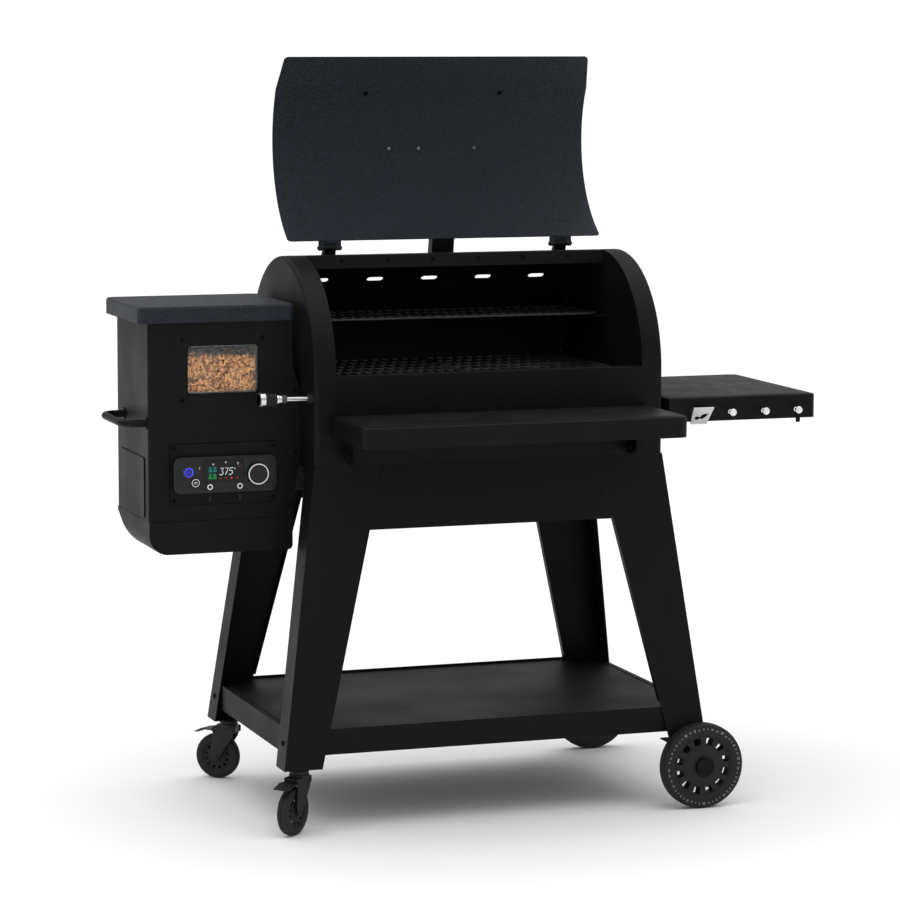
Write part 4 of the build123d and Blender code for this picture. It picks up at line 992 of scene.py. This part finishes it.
class GRILL_OT_seams(bpy.types.Operator):
    """Lay thin dark lines of painted shade for the gaps round the bezel, the service cover and the hopper's
    base
    """
    bl_idname = "grill.seams"
    bl_label = "Joint lines"

    def execute(self, context):
        seam = Shape()
        body_low, body_high = node_box("hopper_body")
        low, high = node_box("control_bezel")
        self.frame_round(seam, (low.x, low.z), (high.x, high.z), facing_front(high.y + 0.2))
        low, high = node_box("access_panel")
        self.frame_round(seam, (low.y, low.z), (high.y, high.z), facing_right(body_low.x - 0.6))
        z = node_box("hopper_base")[1].z
        # The two strips along the hopper's base are painted shade in the crease where the body meets the
        # base.
        seam.block((body_low.x + 8, body_low.y - 0.25, z - 0.5), (body_high.x - 22, body_low.y + 1, z + 0.9))
        seam.block((body_low.x - 0.25, body_low.y + 8, z - 0.5), (body_low.x + 1, body_high.y - 8, z + 0.9))
        seam.write("gap_shade_lines", "blackened", "frame", "black_powder_coat")
        return {"FINISHED"}

    @staticmethod
    def frame_round(seam, low, high, plane):
        """A thin dark frame round a plate: painted shade that shows as the gap at its edge."""
        outer = rounded([c - SHEET_GAP for c in low], [c + SHEET_GAP for c in high], 7)
        inner = rounded([c + 1 for c in low], [c - 1 for c in high], 5)
        seam.plate([outer, inner], plane, 0.8, 0.1)


# ---- controller -----------------------------------------------------------------------------------
STROKES = {   # strokes of the digits on a 10 by 18 field, as lines of points
    "3": [[(1, 17), (9, 17), (4.5, 10.5), (7.5, 9.8), (9, 7), (8.6, 3), (6, 0.8), (3, 0.8), (1, 2.6)]],
    "7": [[(1, 17), (9, 17), (4, 0.8)]],
    "5": [[(8.6, 17), (2, 17), (1.4, 9.8), (5, 11), (8, 9.4), (9, 6), (8, 2.6), (5.4, 0.8), (2.4, 1),
           (1, 2.4)]],
}
JACK_X, JACK_Z = (-607.0, -541.0), 739.0
DISPLAY_LOW, DISPLAY_HIGH = (-622.0, 750.0), (-528.5, 796.0)
DISPLAY_CORNER = 5.0
FACE_CORNER = 15.0


class GRILL_OT_controller(bpy.types.Operator):
    """Mould the controller's face, knob, buttons and jacks, and light its display"""
    bl_idname = "grill.controller"
    bl_label = "Controller"

    def execute(self, context):
        low, high = node_box("control_face")
        knob = node_box("control_knob")
        power = node_box("power_button")
        prime = node_box("prime_button")
        self.face(low, high, knob, power, prime)
        self.knob(*knob)
        self.button("power_key", *power, "power_button", "blue_mark")
        self.button("prime_key", *prime, "prime_button", "white_ring")
        self.jacks(low)
        self.display(low)
        return {"FINISHED"}

    @staticmethod
    def middle(box):
        low, high = box
        return ((low.x + high.x) / 2, (low.z + high.z) / 2)

    def face(self, low, high, knob, power, prime):
        """The raised face: a domed plate with cut-outs, on a skirt that flares to the bezel."""
        def edge(inset):
            return rounded((low.x + inset, low.z + inset), (high.x - inset, high.z - inset),
                           FACE_CORNER - inset, 8)

        shape = Shape()
        openings = ((knob, 6.5), (power, 10.4), (prime, 9.4))
        holes = [circle(self.middle(box), radius) for box, radius in openings]
        holes.append(rounded(DISPLAY_LOW, DISPLAY_HIGH, DISPLAY_CORNER))
        holes += [circle((x, JACK_Z), 5.0, 24) for x in JACK_X]
        shape.plate([edge(0), *holes], facing_front(low.y + 3.4), 3.4, 1.4)
        walls = ((0.2, low.y + 1.6), (0.0, low.y + 3.0), (0.0, high.y - 3.0), (0.6, high.y))
        rings = [shape.points([(x, y, z) for x, z in edge(inset)]) for inset, y in walls]
        for lower, upper in zip(rings, rings[1:]):
            shape.face_ring(lower, upper)
        shape.write("controller_face", "plastic", "frame", "black_plastic", ("control_face",))
        x, z = self.middle(power)
        surround = Shape()
        surround.ring((x, low.y + 0.3, z), -AXES["y"], 10.5, 12.2, 0.7)
        surround.write("power_surround", "grey_mark", "frame", "black_plastic")

    @staticmethod
    def knob(low, high):
        """A turned knob: fluted skirt, dished cap and a pale ring round the cap, whose glow is painted
        light.
        """
        x, z = GRILL_OT_controller.middle((low, high))
        radius = (high.x - low.x) / 2
        front, depth = low.y, high.y - low.y
        body = Shape()
        body.turned((x, front, z), AXES["y"],
                    [(0.9, 0), (0.9, radius - 4.6), (0.2, radius - 3.6), (0.2, radius - 1.6),
                     (1.0, radius - 0.5), (2.4, radius), (9.0, radius), (9.4, radius - 0.6), (9.4, 4),
                     (depth, 4), (depth, 0)], 96)
        body.write("dial_knob", "plastic", "knob", "black_plastic", ("control_knob",))
        ring = Shape()
        ring.ring((x, front + 0.3, z), -AXES["y"], radius - 3.8, radius - 1.5, 0.6, 96)
        ring.write("dial_ring", "white_ring", "knob", "black_plastic")
        flutes = Shape()
        for across, up in circle((x, z), radius - 0.2, 60):
            flutes.rod((across, front + 2.6, up), (across, front + 8.6, up), 0.45, 8, 0.2)
        flutes.write("dial_flutes", "plastic", "knob", "black_plastic")

    @staticmethod
    def button(name, low, high, node, mark):
        """A round key, slightly dished, with a lit ring and a small sign in it. On the prime key the ring
        and sign are pale marks whose glow is painted light.
        """
        x, z = GRILL_OT_controller.middle((low, high))
        radius = (high.x - low.x) / 2
        key = Shape()
        key.turned((x, low.y, z), AXES["y"],
                   [(0.5, 0), (0.2, radius - 3), (0, radius - 1.2), (0.4, radius - 0.3), (1, radius),
                    (high.y - low.y, radius), (high.y - low.y, 0)], 64)
        key.write(name, "plastic", node, "black_plastic", (node,))
        sign = Shape()
        ring_wide = 2.2 if mark == "blue_mark" else 1.3
        sign.ring((x, low.y + 0.25, z), -AXES["y"], radius - 0.4 - ring_wide, radius - 0.4, 0.5, 64)
        if mark == "blue_mark":
            arc = [(x + 3.0 * math.sin(math.radians(a)), low.y + 0.25, z + 3.0 * math.cos(math.radians(a)))
                   for a in range(40, 321, 20)]
            sign.tube(arc, 0.6, 8)
            sign.tube([(x, low.y + 0.25, z + 1.4), (x, low.y + 0.25, z + 4.4)], 0.6, 8)
        else:
            for rise in (-1.6, 1.6):
                sign.block((x - 4, low.y, z + rise - 0.5), (x + 4, low.y + 0.6, z + rise + 0.5), 0.2)
        sign.write(name + "_sign", mark, node, "black_plastic")

    @staticmethod
    def jacks(low):
        """Two probe sockets, each with a pale ring whose glow is painted light, and the small pointer under
        it.
        """
        sockets, rings = Shape(), Shape()
        socket = [(6, 0), (6, 2.0), (0.3, 2.2), (0, 2.6), (0, 4.6), (0.5, 4.8), (9, 4.8), (9, 0)]
        for x in JACK_X:
            sockets.turned((x, low.y - 0.4, JACK_Z), AXES["y"], socket, 32)
            rings.ring((x, low.y + 0.1, JACK_Z), -AXES["y"], 3.9, 6.1, 0.7, 40)
            sockets.tube([(x, low.y, JACK_Z - 18), (x, low.y, JACK_Z - 24)], 0.5, 6)
            sockets.ring((x, low.y + 0.2, JACK_Z - 27), -AXES["y"], 1.4, 2.2, 0.4, 20)
        sockets.write("jack_sockets", "grey_mark", "frame", "black_plastic", ("probe_jacks",))
        rings.write("jack_rings", "white_ring", "frame", "black_plastic")

    @staticmethod
    def display(face_low):
        """The smoked pane with the set temperature, status signs and a row of small lamps."""
        y = face_low.y
        pane = Shape()
        pane_low, pane_high = [c + 0.1 for c in DISPLAY_LOW], [c - 0.1 for c in DISPLAY_HIGH]
        pane.plate([rounded(pane_low, pane_high, DISPLAY_CORNER)], facing_front(y + 1.4), 1.2, 0.1)
        pane.write("display_pane", "smoke_glass", "frame", "board_plastic")
        front = y + 0.25
        digits = Shape()
        scale, lean = 0.9, 0.14
        for k, digit in enumerate("375"):
            for stroke in STROKES[digit]:
                digits.tube([(-587 + k * 10.4 + px * scale + pz * lean, front, 763.5 + pz * scale)
                             for px, pz in stroke], 0.68, 8)
        degree = [(-553.5, 777), (-552.5, 778.4), (-551.1, 777), (-552.5, 775.6), (-553.5, 777)]
        digits.tube([(x, front, z) for x, z in degree], 0.35, 6)
        for x, z in ((-630, 780), (-600, 787), (-572, 791), (-545, 788)):
            digits.tube([(x - 2, front, z), (x, front, z + 2), (x + 2, front, z)], 0.35, 6)
            digits.tube([(x, front, z + 1), (x, front, z - 3)], 0.35, 6)
        digits.write("display_digits", "white_mark", "frame", "board_plastic")
        signs = {"teal_mark": [(-606.0, 776), (-596.0, 776)], "green_mark": [(-606.0, 761), (-596.5, 761)]}
        for mark, places in signs.items():
            sign = Shape()
            for x, z in places:
                for rise in range(4):
                    sign.block((x - 4.2 + rise * 0.5, front - 0.2, z - 5 + rise * 3),
                               (x + 4.2 - rise * 0.5, front + 0.3, z - 3.2 + rise * 3), 0.2)
            sign.write("display_" + mark.split("_")[0], mark, "frame", "board_plastic")
        lamps = Shape()
        for k, radius in enumerate((1.5, 1.5, 2.3, 1.5)):
            x = -584 + k * 12.4
            lamps.rod((x, front + 0.6, 757), (x, front - 0.1, 757), radius, 14, 0.2)
        lamps.tube([(-543, front, 782), (-541, front, 780), (-539, front, 783)], 0.45, 6)
        lamps.write("display_lamps", "red_mark", "frame", "board_plastic")


# ---- lever, hooks and opener --------------------------------------------------------------------
class GRILL_OT_lever(bpy.types.Operator):
    """Fit the broiler lever's plated cap, collar and rod and its ribbed grip"""
    bl_idname = "grill.lever"
    bl_label = "Lever and small steel"

    def execute(self, context):
        grip_low, grip_high = node_box("lever_grip")
        y, z = (grip_low.y + grip_high.y) / 2, (grip_low.z + grip_high.z) / 2
        tip = node_box("broiler_slide")[0].x
        cap = grip_low.x - tip
        steel = Shape()
        steel.turned((tip, y, z), AXES["x"],
                     [(0, 0), (0, 12.6), (0.7, 14.6), (2.4, 15.5), (cap - 1, 15.5), (cap, 14.8),
                      (cap, 0)], 64)
        steel.turned((grip_high.x, y, z), AXES["x"],
                     [(0, 0), (0, 9.6), (1.2, 10.2), (5, 10.2), (6, 9.4), (20, 8.2), (22, 6.6),
                      (24, 6.05), (150, 6.05), (150, 0)], 48)
        steel.write("lever_plating", "chrome", "broiler", "bare_steel")
        grip = Shape()
        reach = grip_high.x - grip_low.x
        ribs, bore = 7, 5.0
        outline = [(0, bore)]
        for k in range(ribs):
            start, end = reach * k / ribs, reach * k / ribs + reach / ribs
            outline += [(start + 0.3, 13.0), (start + 0.9, 13.9), (end - 0.9, 13.9), (end - 0.3, 13.0)]
        outline += [(reach, bore), (0, bore)]
        grip.turned((grip_low.x, y, z), AXES["x"], outline, 64)
        grip.write("lever_handle", "grip", "broiler", "black_plastic", ("lever_grip",))
        bush = Shape()
        bush.turned((node_box("end_cap_left")[0].x - 9, y, z), AXES["x"],
                    [(0, 6.2), (0, 9.2), (1, 10.4), (4, 10.6), (5, 13.5), (8.8, 13.5), (8.8, 6.2),
                     (0, 6.2)], 40)
        bush.write("lever_bush", "plastic", "frame", "black_plastic")
        self.hooks()
        self.opener()
        return {"FINISHED"}

    @staticmethod
    def hooks():
        """Three peg hooks with domed heads."""
        low, high = node_box("shelf_hooks")
        head, pitch = 9.0, 80.0
        peg = [(0, 0), (0, 5.2), (1.0, 5.2), (1.8, 3.6), (13, 3.4), (14.4, 4.6), (15.2, 7.2), (16.6, 8.3),
               (18.4, 8.1), (19.3, 6.8), (19.3, 4.4), (18.5, 3.4), (18.5, 0)]
        shape = Shape()
        for x in (low.x + head, low.x + head + pitch, high.x - head):
            shape.turned((x, high.y, (low.z + high.z) / 2), -AXES["y"], peg, 40)
        shape.write("hook_pegs", "chrome", "side_shelf", "chrome", ("shelf_hooks",))

    @staticmethod
    def opener():
        """A pressed opener: a plate leaning forward from its foot, with a mouth and a side fold."""
        low, high = node_box("bottle_opener")
        foot, tip = Vector((0, high.y - 1.4, low.z + 9)), Vector((0, low.y + 1.2, high.z - 0.4))
        rise, up = (tip - foot).length, (tip - foot).normalized()
        lean = Matrix(((1, 0, 0, 0), (0, up.y, -up.z, foot.y), (0, up.z, up.y, foot.z), (0, 0, 0, 1)))
        shape = Shape()
        left, right = low.x + 0.4, high.x - 0.4
        outline = [(left, -2), (right - 9, -2), (right - 7, 1), (right, rise - 1), (right - 1.5, rise),
                   (left, rise)]
        mouth = [(left + across, height) for across, height in (
            (9, 2.5), (8, 9), (10, 12), (20, 10), (24, 15.5), (29, 18), (38, 18), (36, 13), (31, 8),
            (26, 4), (21, 5.5), (15, 2))]
        shape.plate([outline, mouth], lean, 2.0, 0.6)
        shape.block((left, foot.y - 1.2, low.z), (right - 9, foot.y + 1.3, foot.z + 1), 0.6)
        fold = [(high.y, foot.z), (high.y, high.z - 3), (low.y + 3.6, high.z - 2.6), (foot.y - 1.0, foot.z)]
        shape.plate([fold], facing_right(left), 2.2, 0.5)
        shape.write("opener_plate", "stainless", "side_shelf", "stainless", ("bottle_opener",))


# ---- shelves --------------------------------------------------------------------------------------
class GRILL_OT_shelves(bpy.types.Operator):
    """Press the shelves' tops, each a thin skin with rounded corners"""
    bl_idname = "grill.shelves"
    bl_label = "Shelf pressings"

    def execute(self, context):
        for shelf, inset, radius in (("side_shelf", 9.0, 12.0), ("front_shelf", 12.0, 22.0)):
            low, high = node_box(shelf)
            outline = rounded((low.x + inset, low.y + inset), (high.x - inset, high.y - inset), radius)
            panel = Shape()
            panel.plate([outline], facing_up(high.z - 0.2), 1.0, 0.4)
            panel.write(shelf + "_pressing", "shelf_skin", shelf, "black_powder_coat")
        return {"FINISHED"}


# ---- wheels and casters ---------------------------------------------------------------------------
def windows(count, inner, outer, share_open):
    """The outlines of openings round a disc, each between two radii, with eased corners."""
    found = []
    half = math.pi / count * share_open
    steps, ease, narrow = 6, 0.6, 0.86
    for k in range(count):
        middle = 2 * math.pi * (k + 0.5) / count
        outline = []
        for radius, way, inwards in ((inner, 1, ease), (outer, -1, -ease)):
            for step in range(steps + 1):
                corner = step in (0, steps)
                turn = middle + half * way * (2 * step / steps - 1) * (narrow if corner else 1)
                reach = radius + (inwards if corner else 0)
                outline.append((reach * math.cos(turn), reach * math.sin(turn)))
        found.append(outline)
    return found


def wheel_plane(hub, axis):
    """A plane through the hub, square to the axle."""
    first, second = square_to(axis)
    turn = Matrix((first, second, first.cross(second))).transposed().to_4x4()
    return Matrix.Translation(hub) @ turn


class GRILL_OT_wheels(bpy.types.Operator):
    """Mould the two large wheels with their open hubs and ribbed tyres"""
    bl_idname = "grill.wheels"
    bl_label = "Large wheels"

    def execute(self, context):
        for node in ("wheel_front", "wheel_rear"):
            low, high = node_box(node)
            hub = (low + high) / 2
            outward = AXES["y"] * (1 if hub.y > 0 else -1)
            half = (high.y - low.y) / 2
            self.tyre(node, hub, outward, half)
            self.wall_blocks(node, hub, outward, half)
            self.rim(node, hub, outward, half)
        return {"FINISHED"}

    @staticmethod
    def tyre(node, hub, outward, half):
        """A broad tyre: crowned tread with two grooves, rounded shoulders and stepped side walls."""
        wide = 2 * half
        outline = [(3.5, 67), (1.6, 69), (1.2, 72), (0.4, 74), (0.0, 78), (0.3, 88), (1.8, 91.6),
                   (4.4, 93.8), (8, 94.8), (10.0, 94.9), (10.3, 93.4), (11.9, 93.4), (12.2, 95.0)]
        outline += [(wide - along, r) for along, r in reversed(outline)]
        outline += [(wide - 3.5, 65.4), (3.5, 65.4), (3.5, 67)]
        tyre = Shape()
        tyre.turned(hub - outward * half, outward, outline, 128)
        tyre.write(node + "_tyre", "tyre", node, "wheel_plastic", (node,))

    @staticmethod
    def wall_blocks(node, hub, outward, half):
        """A ring of small plain blocks of mixed sizes, moulded on the tyre's outer wall."""
        marks = Shape()
        plane = wheel_plane(hub + outward * (half - 0.4), outward)
        sizes = random.Random(5)
        turn, gap, last = 0.0, 0.075, 0.12
        while turn < 2 * math.pi - last:
            reach = sizes.choice((0.035, 0.055, 0.08))
            low_r, high_r = sizes.choice(((80.5, 86.5), (81.5, 85.5), (80.5, 84)))
            angles = (turn, turn + reach / 2, turn + reach)
            outline = [(low_r * math.cos(a), low_r * math.sin(a)) for a in angles]
            outline += [(high_r * math.cos(a), high_r * math.sin(a)) for a in reversed(angles)]
            marks.plate([outline], plane, 0.8, 0.25)
            turn += reach + gap
        marks.write(node + "_wall_blocks", "tread_mark", node, "wheel_plastic")

    @staticmethod
    def rim(node, hub, outward, half):
        """The rim: two discs with twelve openings between two rings, a coned hub and twelve spokes."""
        rim = Shape()
        disc = [circle((0, 0), 67.5, 72), circle((0, 0), 6.1, 24), *windows(12, 48.5, 63.5, 0.62)]
        for level in (half - 9.0, -half + 4.0):
            rim.plate(disc, wheel_plane(hub + outward * level, outward), 5.0, 0.9)
        rim.ring(hub - outward * (half - 3.0), outward, 63.8, 66.6, 2 * half - 6, 96)
        rim.ring(hub - outward * (half - 4.0), outward, 44.0, 47.0, 2 * half - 8, 96)
        cone = [(0, 46.5), (1.6, 45.4), (3.4, 34), (4.6, 26), (4.6, 24.4), (3.2, 23.6), (3.2, 19.8),
                (0, 19.6), (0, 46.5)]
        rim.turned(hub + outward * (half - 5.0), outward, cone, 96)
        for across, up in circle((0, 0), 1.0, 12):
            out = Vector((across, 0, up))
            rim.tube([hub + out * 46.5, hub + out * 64.5], 2.4, 8)
        rim.write(node + "_rim", "tyre", node, "wheel_plastic")


class GRILL_OT_casters(bpy.types.Operator):
    """Build the two locking casters: race, fork, wheel and pedal"""
    bl_idname = "grill.casters"
    bl_label = "Casters"

    def execute(self, context):
        for row in ("front", "rear"):
            stem, _, _ = joint(f"caster_{row}_swivel")
            hub, across, _ = joint(f"caster_{row}_spin")
            pedal, _, _ = joint(f"caster_{row}_brake")
            ahead = Vector((hub.x - stem.x, hub.y - stem.y, 0)).normalized()
            placed = Matrix((ahead, across, AXES["z"])).transposed().to_4x4()
            placed = Matrix.Translation((stem.x, stem.y, 0)) @ placed
            trail = math.hypot(hub.x - stem.x, hub.y - stem.y)
            self.fork(row, placed, trail, hub.z)
            self.wheel(row, placed, trail, hub.z)
            self.pedal(row, placed, pedal.z)
        return {"FINISHED"}

    @staticmethod
    def fork(row, placed, trail, radius):
        """Moulded fork: two cheeks under a round crown, with the swivel race and stem above."""
        shape = Shape(placed)
        race = [(0, 0), (0, 20.5), (1, 21.4), (4, 22), (9, 22), (10, 20.6), (12, 20.2), (12.6, 21.2),
                (17, 21.2), (18.6, 20), (20.6, 19.4), (20.6, 5.6), (53, 5.5), (53, 0)]
        shape.turned((0, 0, 119), AXES["z"], race, 56)
        cheek = [(-20, 124), (-21, 116), (-14, 97), (trail - 9, radius - 3)]
        cheek += [(trail + 9 * math.cos(math.radians(a)), radius + 9 * math.sin(math.radians(a)))
                  for a in range(200, 371, 15)]
        cheek += [(trail + 11, radius + 12), (33, 108), (31, 124)]
        hole = circle((trail, radius), 4.15, 20)
        thick, middle = 3.4, 16.4
        for side in (-1, 1):
            shape.plate([cheek, hole], facing_front(middle * side + thick / 2), thick, 0.9)
        shape.block((-20, -16, 112), (31, 16, 120.5), 3.0)
        for side in (-1, 1):
            shape.turned((trail, 19.6 * side, radius), AXES["y"] * -side,
                         [(0, 0), (0.2, 5.0), (1.0, 6.0), (2.4, 6.2), (2.4, 0)], 6)
        shape.rod((trail, -18.5, radius), (trail, 18.5, radius), 3.9, 24)
        shape.write(f"caster_{row}_bracket", "plastic", f"caster_{row}", "black_powder_coat",
                    (f"caster_fork_{row}",))

    @staticmethod
    def wheel(row, placed, trail, radius):
        """A wheel with a grooved tread and a ring of small openings round its hub."""
        shape = Shape(placed)
        half, disc_thick = 11.5, 2.6
        outline = [(2.6, 33), (0.6, 35), (0, 38), (0, 46), (1.4, 49.4), (4.2, 51.4), (8, 52), (10.3, 52),
                   (10.7, 51), (11.5, 50.8)]
        outline += [(2 * half - along, r) for along, r in reversed(outline[:-1])]
        outline += [(2 * half - 2.6, 31), (2.6, 31), (2.6, 33)]
        shape.turned((trail, -half, radius), AXES["y"], outline, 96)
        disc = [circle((0, 0), 32.5, 72), circle((0, 0), 4.2, 20), *windows(12, 23.0, 29.5, 0.55)]
        for level in (-half + 3.0, half - 3.0 - disc_thick):
            plane = Matrix.Translation((trail, 0, radius)) @ facing_front(level + disc_thick)
            shape.plate(disc, plane, disc_thick, 0.6)
        shape.ring((trail, -half + 1.4, radius), AXES["y"], 4.2, 11, 2 * half - 2.8, 40)
        shape.ring((trail, -half + 3.2, radius), AXES["y"], 19.5, 21.5, 2 * half - 6.4, 56)
        shape.write(f"caster_{row}_roller", "tyre", f"caster_wheel_{row}", "wheel_plastic",
                    (f"caster_wheel_{row}",))

    @staticmethod
    def pedal(row, placed, height):
        """A broad brake pedal: a plate bent down at the wheel and up at its toe, ribbed on top."""
        shape = Shape(placed)
        section = [(along, height + rise) for along, rise in (
            (25, -3.5), (34, 3.6), (52, 4.4), (70, -1.6), (78.5, -3.6), (78.5, -5.6), (68, -4.2), (52, 1.4),
            (36, 0.8), (30, -4.2))]
        wide = 38.0
        shape.plate([section], facing_front(wide / 2), wide, 0.8)
        shape.rod((28, -15.5, height), (28, 15.5, height), 3.0, 20)
        for k in range(5):
            x = 54 + 4.5 * k
            rib_z = height + 4.2 - 0.33 * (x - 52)
            shape.rod((x, -15, rib_z), (x, 15, rib_z), 0.9, 10, 0.3)
        shape.write(f"caster_{row}_pedal", "plastic", f"brake_{row}", "black_powder_coat",
                    (f"brake_pedal_{row}",))


# ---- stage ------------------------------------------------------------------------------------------
CAMERA_AT = Vector((-2540.8, -7281.2, 1745.2))
CAMERA_DOWN, CAMERA_ROLL, CAMERA_ROUND = 7.168, -0.15, -19.163   # degrees
FLOOR_REACH = 60.0             # the stage's own places are in metres
LAMP_AT, LAMP_AIM = Vector((-1.5, -0.9, 3.6)), Vector((0, 0, 0.8))
LAMP_WIDE, LAMP_DEEP, LAMP_WATTS = 3.2, 2.4, 16.0
LEVEL_TO, OVERHEAD_FROM = 0.5, 0.95    # heights on the surround, as the sine of the angle


class GRILL_OT_stage(bpy.types.Operator):
    """Lay a pale floor under a white surround, with one broad lamp and the camera"""
    bl_idname = "grill.stage"
    bl_label = "Stage"

    def execute(self, context):
        stage = settings("stage")
        self.surround(context.scene, stage)
        self.floor(context.scene, stage)
        self.lamp(context.scene)
        self.camera(context.scene, stage)
        return {"FINISHED"}

    @staticmethod
    def surround(scene, stage):
        """A white surround that lights the grill more from straight above than from the side."""
        world = bpy.data.worlds.new("white_surround")
        scene.world = world
        sky = Nodes(world)
        background = world.node_tree.nodes["Background"]
        background.inputs["Color"].default_value = (1, 1, 1, 1)
        place = sky.add("ShaderNodeTexCoord", output="Generated")
        height = sky.add("ShaderNodeSeparateXYZ", None, [place], "Z")
        seen = sky.add("ShaderNodeLightPath", output="Is Camera Ray")
        light = height.ramp(LEVEL_TO, OVERHEAD_FROM, stage.front, stage.overhead)
        strength = seen * stage.glow + (1 - seen) * light
        world.node_tree.links.new(strength.socket, background.inputs["Strength"])
        scene.view_settings.view_transform = "Standard"

    @staticmethod
    def floor(scene, stage):
        reach = FLOOR_REACH
        mesh = bpy.data.meshes.new("floor")
        mesh.from_pydata([(-reach, -reach, 0), (reach, -reach, 0), (reach, reach, 0), (-reach, reach, 0)],
                         [], [(0, 1, 2, 3)])
        pale = Shader("pale_floor", (stage.floor,) * 3, 0.9, Specular_IOR_Level=0.0)
        mesh.materials.append(pale.material)
        floor = bpy.data.objects.new("floor", mesh)
        scene.collection.objects.link(floor)

    @staticmethod
    def lamp(scene):
        data = bpy.data.lights.new("broad_lamp", "AREA")
        data.shape = "RECTANGLE"
        data.size, data.size_y = LAMP_WIDE, LAMP_DEEP
        data.energy = LAMP_WATTS
        lamp = bpy.data.objects.new("broad_lamp", data)
        lamp.location = LAMP_AT
        lamp.rotation_euler = (LAMP_AIM - LAMP_AT).to_track_quat("-Z", "Y").to_euler()
        scene.collection.objects.link(lamp)

    @staticmethod
    def camera(scene, stage):
        data = bpy.data.cameras.new("camera")
        data.lens = stage.lens / MM
        data.sensor_width = 36.0
        data.clip_end = 200.0
        camera = bpy.data.objects.new("camera", data)
        camera.location = BARREL + CAMERA_AT * MM
        camera.rotation_euler = [math.radians(a) for a in (90 - CAMERA_DOWN, CAMERA_ROLL, CAMERA_ROUND)]
        scene.collection.objects.link(camera)
        scene.camera = camera


# ---- panel and start --------------------------------------------------------------------------------
PIECES = (GRILL_OT_finish_frame, GRILL_OT_lid, GRILL_OT_grates, GRILL_OT_pellets, GRILL_OT_seams,
          GRILL_OT_controller, GRILL_OT_lever, GRILL_OT_shelves, GRILL_OT_wheels, GRILL_OT_casters,
          GRILL_OT_stage)
GROUPS = {"finish": GRILL_PG_finish, "lid": GRILL_PG_lid, "pellets": GRILL_PG_pellets,
          "stage": GRILL_PG_stage}


class GRILL_PT_panel(bpy.types.Panel):
    """Every piece of the grill, and the settings"""
    bl_idname = "GRILL_PT_panel"
    bl_label = "Pellet smoker grill"
    bl_space_type = "VIEW_3D"
    bl_region_type = "UI"
    bl_category = "Grill"

    def draw(self, context):
        for piece in PIECES:
            self.layout.operator(piece.bl_idname)
        for group, kind in GROUPS.items():
            box = self.layout.box()
            for name in kind.__annotations__:
                box.prop(settings(group), name)


def register():
    for kind in (*GROUPS.values(), *PIECES, GRILL_PT_panel):
        bpy.utils.register_class(kind)
    for group, kind in GROUPS.items():
        setattr(bpy.types.Scene, "grill_" + group, PointerProperty(type=kind))


def unregister():
    for group in GROUPS:
        delattr(bpy.types.Scene, "grill_" + group)
    for kind in reversed((*GROUPS.values(), *PIECES, GRILL_PT_panel)):
        bpy.utils.unregister_class(kind)


FINISHES = {}


def main():
    register()
    FINISHES.update(make_finishes())
    for piece in PIECES:
        family, name = piece.bl_idname.split(".")
        getattr(getattr(bpy.ops, family), name)()


if __name__ == "__main__":
    main()
